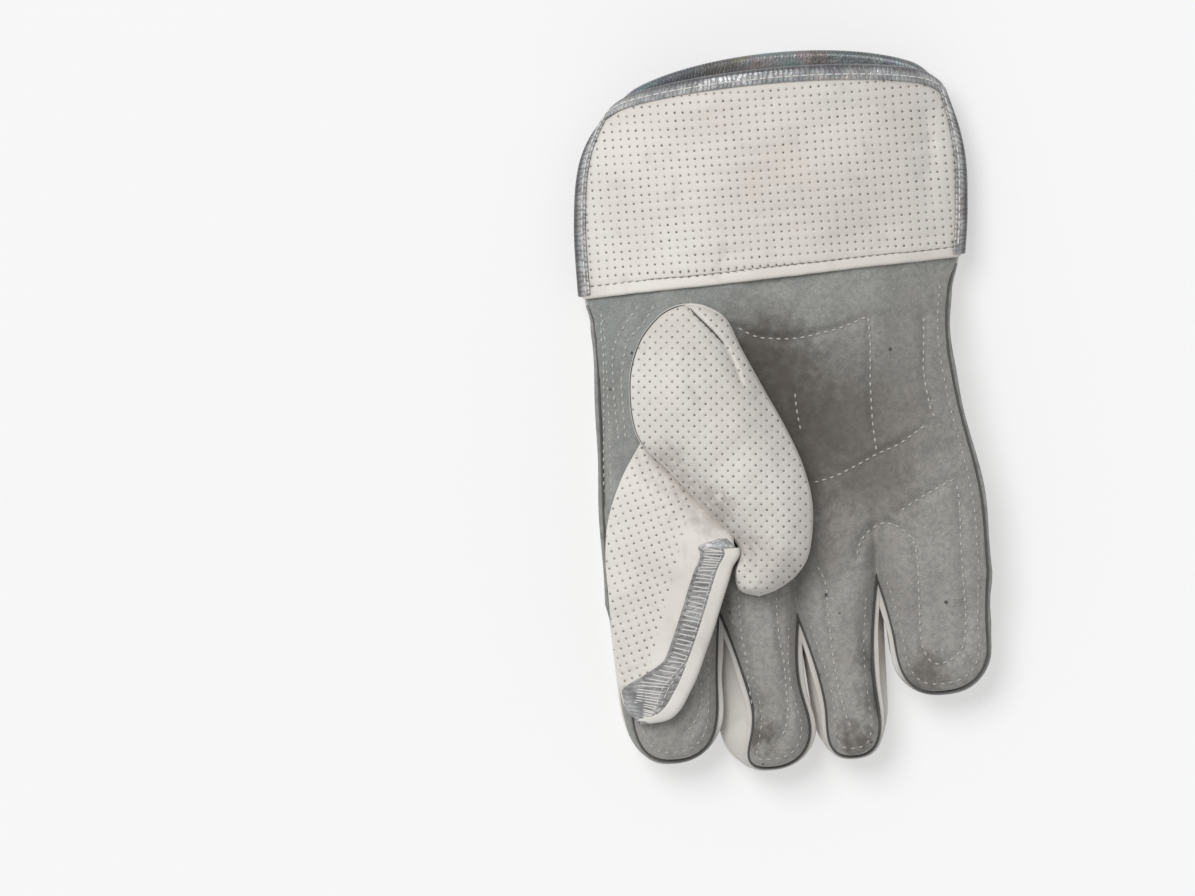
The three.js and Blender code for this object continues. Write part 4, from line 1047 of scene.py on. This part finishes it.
# The web's leather carries painted shade along the thumb, with tan soiling.
stretched_leather = white_leather("punched_and_stretched_leather", True, hem=WEB_HEM, shade_and_stains=WEB_SHADE_AND_STAINS)
half, web_cut = WEB_WALL / 2, cut_at(0.94, 0.34)
web = panel("web_leather", "web", [web_grid], -half, half, web_cut, stretched_leather)

web_film = film_finish("web_film", colourful=0.06, rib=3.4, metal=0.2, shade=0.52, ribbed=0.12)
band_places = np.linspace(WEB_CORNER - 0.45, 9, 140)
across = np.linspace(0, 1, 17)
top_cut = 0.8 * smooth(BAND_START - band_places, 0, 0.4)[:, None]
band_grid = web_rows(band_places, lerp(1 + top_cut, 2, across[None]))
where = np.stack(np.broadcast_arrays((across * BAND_WIDTH)[None], lengths(band_grid[:, -1])[:, None]), -1)
panel("web_band_film", "web_band", [band_grid], BAND_LOW, BAND_LOW + BAND_WALL, where, web_film)

ladder = []
chance = np.random.default_rng(6)
steps = np.linspace(0, 1, 8)
for place in np.linspace(BAND_START, 8.75, 51):
    slant = 0.16 + 0.03 * chance.standard_normal()
    shares = lerp(1.03 + 0.05 * chance.random(), 1.68, steps)
    ladder.append(web_rows(place + slant * steps, shares[:, None])[:, 0] + (0, 0, BAND_LOW + BAND_WALL + 0.1))
threads("web_ladder_threads", np.array(ladder), 0.75, bright_thread)
band_lines = web_rows(np.linspace(BAND_START, 8.6, 200), np.array([[1.05, 1.6, 1.7]]))
band_lines += (0, 0, BAND_LOW + BAND_WALL + 0.12)
threads("web_inner_stitches", dashes(band_lines[:, 0], 1.8, 1.3), 0.5, grey_thread)
outer_seam = np.concatenate([dashes(band_lines[:, i], 2.6, 0.8) for i in (1, 2)])
threads("web_edge_stitches", outer_seam, 0.5, bright_thread)

edge = web_rows(np.linspace(WEB_CORNER, 8.8, 170), np.array([[2.0, 1.72]]))
up = np.array([0.0, 0.0, 1.0])
swell = 0.35 * np.sin(np.arange(170) / 5.0)[:, None] + 0.3
low_lines = edge[:, 0] - up, edge[:, 1] - up
high_lines = edge[:, 0] + up * (2.1 + 0.4 * swell), edge[:, 1] + up * 1.9
soft_leather = white_leather("soft_leather", False, 0.95)
bound("web_edge_leather", "web_binding", *low_lines, *high_lines, soft_leather)

# The stripe down the back
# A ribbon of the silver film runs down the back from the rim to the middle fingertip. Both its edges are sewn
# down with bright and dark thread, with more threads across it like a ladder.
STRIPE_LOW, STRIPE_WALL = 0.35, 1.7
STRIPE = columns(
    "x y width",
    (0.156, 0.462, 0.095),
    (0.112, 0.253, 0.093),
    (0.065, 0.02, 0.088),
    (0.002, -0.2, 0.08),
    (-0.068, -0.382, 0.055),
)


def ribbon(name, node, grid, low, high, material):
    """A ribbon from rows of points across it, with its pattern in millimetres across and along."""
    turn = np.linalg.norm(grid - grid[:, :1], axis=2)
    where = np.stack([turn, np.broadcast_to(lengths(grid[:, 0])[:, None], turn.shape)], -1)
    return panel(name, node, [grid], low, high, where, material)


def stripe_point(share, place):
    """A point of the stripe, a share of its width from its middle line."""
    share, place = np.broadcast_arrays(share, place)
    x, y, width = (between(STRIPE[name], place) for name in STRIPE)
    return np.stack([*laid_out(x + share * width, y), np.zeros_like(x)], -1)


def stripe_seams(share):
    """Stitches along both sides of the stripe, a share of its width from its middle line."""
    lines = [stripe_point(side, np.linspace(0.02, 3.98, 200)) + (0, 0, 0.38) for side in (-share, share)]
    return np.concatenate([dashes(line, 2.4, 1.2, up=-1) for line in lines])


bright_film = film_finish("bright_film", colourful=1.0, rib=3.3, metal=0.35, shade=0.9, ribbed=0.4,
                          rib_tone=0.16, wander=0.0, middle=8.2, vivid=1.7, stretch=(0.5, 1.3, 1))
dark_thread = thread_finish("dark_thread", 0.13, 0.12, 0.115)
stripe_grid = stripe_point(np.linspace(-0.48, 0.48, 13)[None], np.linspace(0, 4, 160)[:, None])
ribbon("stripe_film", "back_stripe", stripe_grid, STRIPE_LOW, STRIPE_WALL, bright_film)
rung, slant = np.linspace(-0.4, 0.4, 6), np.linspace(0, 0.01, 6)
rungs = np.array([stripe_point(rung, place + slant) for place in np.linspace(0.04, 3.95, 92)]) + (0, 0, 0.3)
threads("stripe_stitches", np.concatenate([stripe_seams(0.43), rungs]), 0.5, bright_thread)
threads("stripe_dark_stitches", stripe_seams(0.35), 0.55, dark_thread)

# The badge
# A black moulded rubber shield with a film face sits on a patch of film cut to the same outline and sewn to
# the cuff's back. Its face is left bare.
BADGE_WIDTH = 67
PATCH_MARGIN = 6
PATCH_LOW = 1.2
rubber, place = blank("badge_black_rubber", "badge_rubber", Roughness=0.5)
colour = mottled((0.014, 0.014, 0.016, 1), (0.03, 0.03, 0.032, 1), 1.0, place, 120.0, 0.3, 0.7)
covered(rubber, colour, noise(place, 1600.0, 3.0), 0.0001)
badge_film = film_finish("badge_film", colourful=0.95, rib=1.3, metal=0.4, ribbed=0.45, wander=0.0, vivid=1.5,
                         stretch=(0.45, 1.7, 1), square=True)
for name, material in (("badge_rim", rubber), ("badge_plate", badge_film)):
    node = bpy.data.objects[name]
    node.data.materials.clear()
    node.data.materials.append(material)


def swept(*points):
    """Points on the curve that control points give, each round a share of the way from each to the next."""
    row = [np.array(point, float)[None] for point in points]
    while len(row) > 1:
        row = [lerp(a, b, np.linspace(0, 1, 40)[:, None]) for a, b in zip(row, row[1:])]
    return row[0]


centre = np.array([*laid_out(*BADGE_PLACE), 0.0])
half, tall = BADGE_WIDTH / 2 + PATCH_MARGIN, BADGE_HEIGHT + 2 * PATCH_MARGIN
shoulder = 0.39 * tall
left = swept(
    (-half, shoulder, 0), (-1.1 * half, -0.2 * tall, 0), (-0.8 * half, -0.34 * tall, 0), (0, -0.5 * tall, 0)
)
arch = swept((half, shoulder, 0), (0, 0.62 * tall, 0), (-half, shoulder, 0))
rim_line = np.concatenate([left[:-1], left[::-1][:-1] * (-1, 1, 1), arch[:-1]])
for _ in range(8):
    rim_line = (np.roll(rim_line, 1, 0) + 2 * rim_line + np.roll(rim_line, -1, 0)) / 4
rim_line = np.concatenate([rim_line, rim_line[:1]])
patch_grid = centre + rim_line[None] * np.linspace(0.02, 1, 40)[:, None, None]
patch_film = film_finish("patch_film", colourful=0.45, rib=1.5, metal=0.35, shade=0.8, ribbed=0.5, wander=0.3,
                         vivid=1.4)
patch_cut = patch_grid[..., :2]
panel("badge_patch_film", "badge_patch", [patch_grid], PATCH_LOW, STRIPE_WALL, patch_cut, patch_film)
for name, share, dash, gap, thick, thread in (
    ("badge_dark_stitches", 0.95, 1.4, 0.9, 0.8, dark_thread),
    ("badge_light_stitches", 0.905, 1.8, 1.2, 0.5, bright_thread),
):
    seam = centre + rim_line * share + (0, 0, PATCH_LOW - 0.05)
    threads(name, dashes(seam, dash, gap, up=-1), thick, thread)

# The fingertip bands
# A short band of the same film crosses the back of each finger just before its tip. It lies on the leather,
# a little bowed towards the tip, and is sewn down along both edges with white thread.
TIP_BAND_WIDTH = 0.16
TIP_BAND_LIFT = -CLEARANCE - BAND_WALL
tip_film = film_finish("tip_film", colourful=0.5, rib=2.6, metal=0.35, shade=0.95, ribbed=0.5, rib_tone=0.2,
                       wander=0.0, vivid=1.3)
shares = np.linspace(0.05, 0.95, 30)
arched = 0.06 * (1 - (2 * shares - 1) ** 2) - 0.02
tip_seams = []
for k, finger in enumerate(FINGER_NAMES):
    start = 1 - FINGERS["round"][k]
    places = KNUCKLES + np.linspace(start - TIP_BAND_WIDTH, start, 24)[:, None] - arched
    grid = hand("back", k, shares[None], places)
    names = finger + "_tip_film", finger + "_tip_band"
    ribbon(*names, grid.transpose(1, 0, 2)[:, ::-1], TIP_BAND_LIFT, -0.15, tip_film)
    tip_seams += [dashes(grid[row] + (0, 0, TIP_BAND_LIFT), 2.4, 1.2, up=-1) for row in (1, -2)]
threads("tip_band_stitches", np.concatenate(tip_seams), 0.5, white_thread)
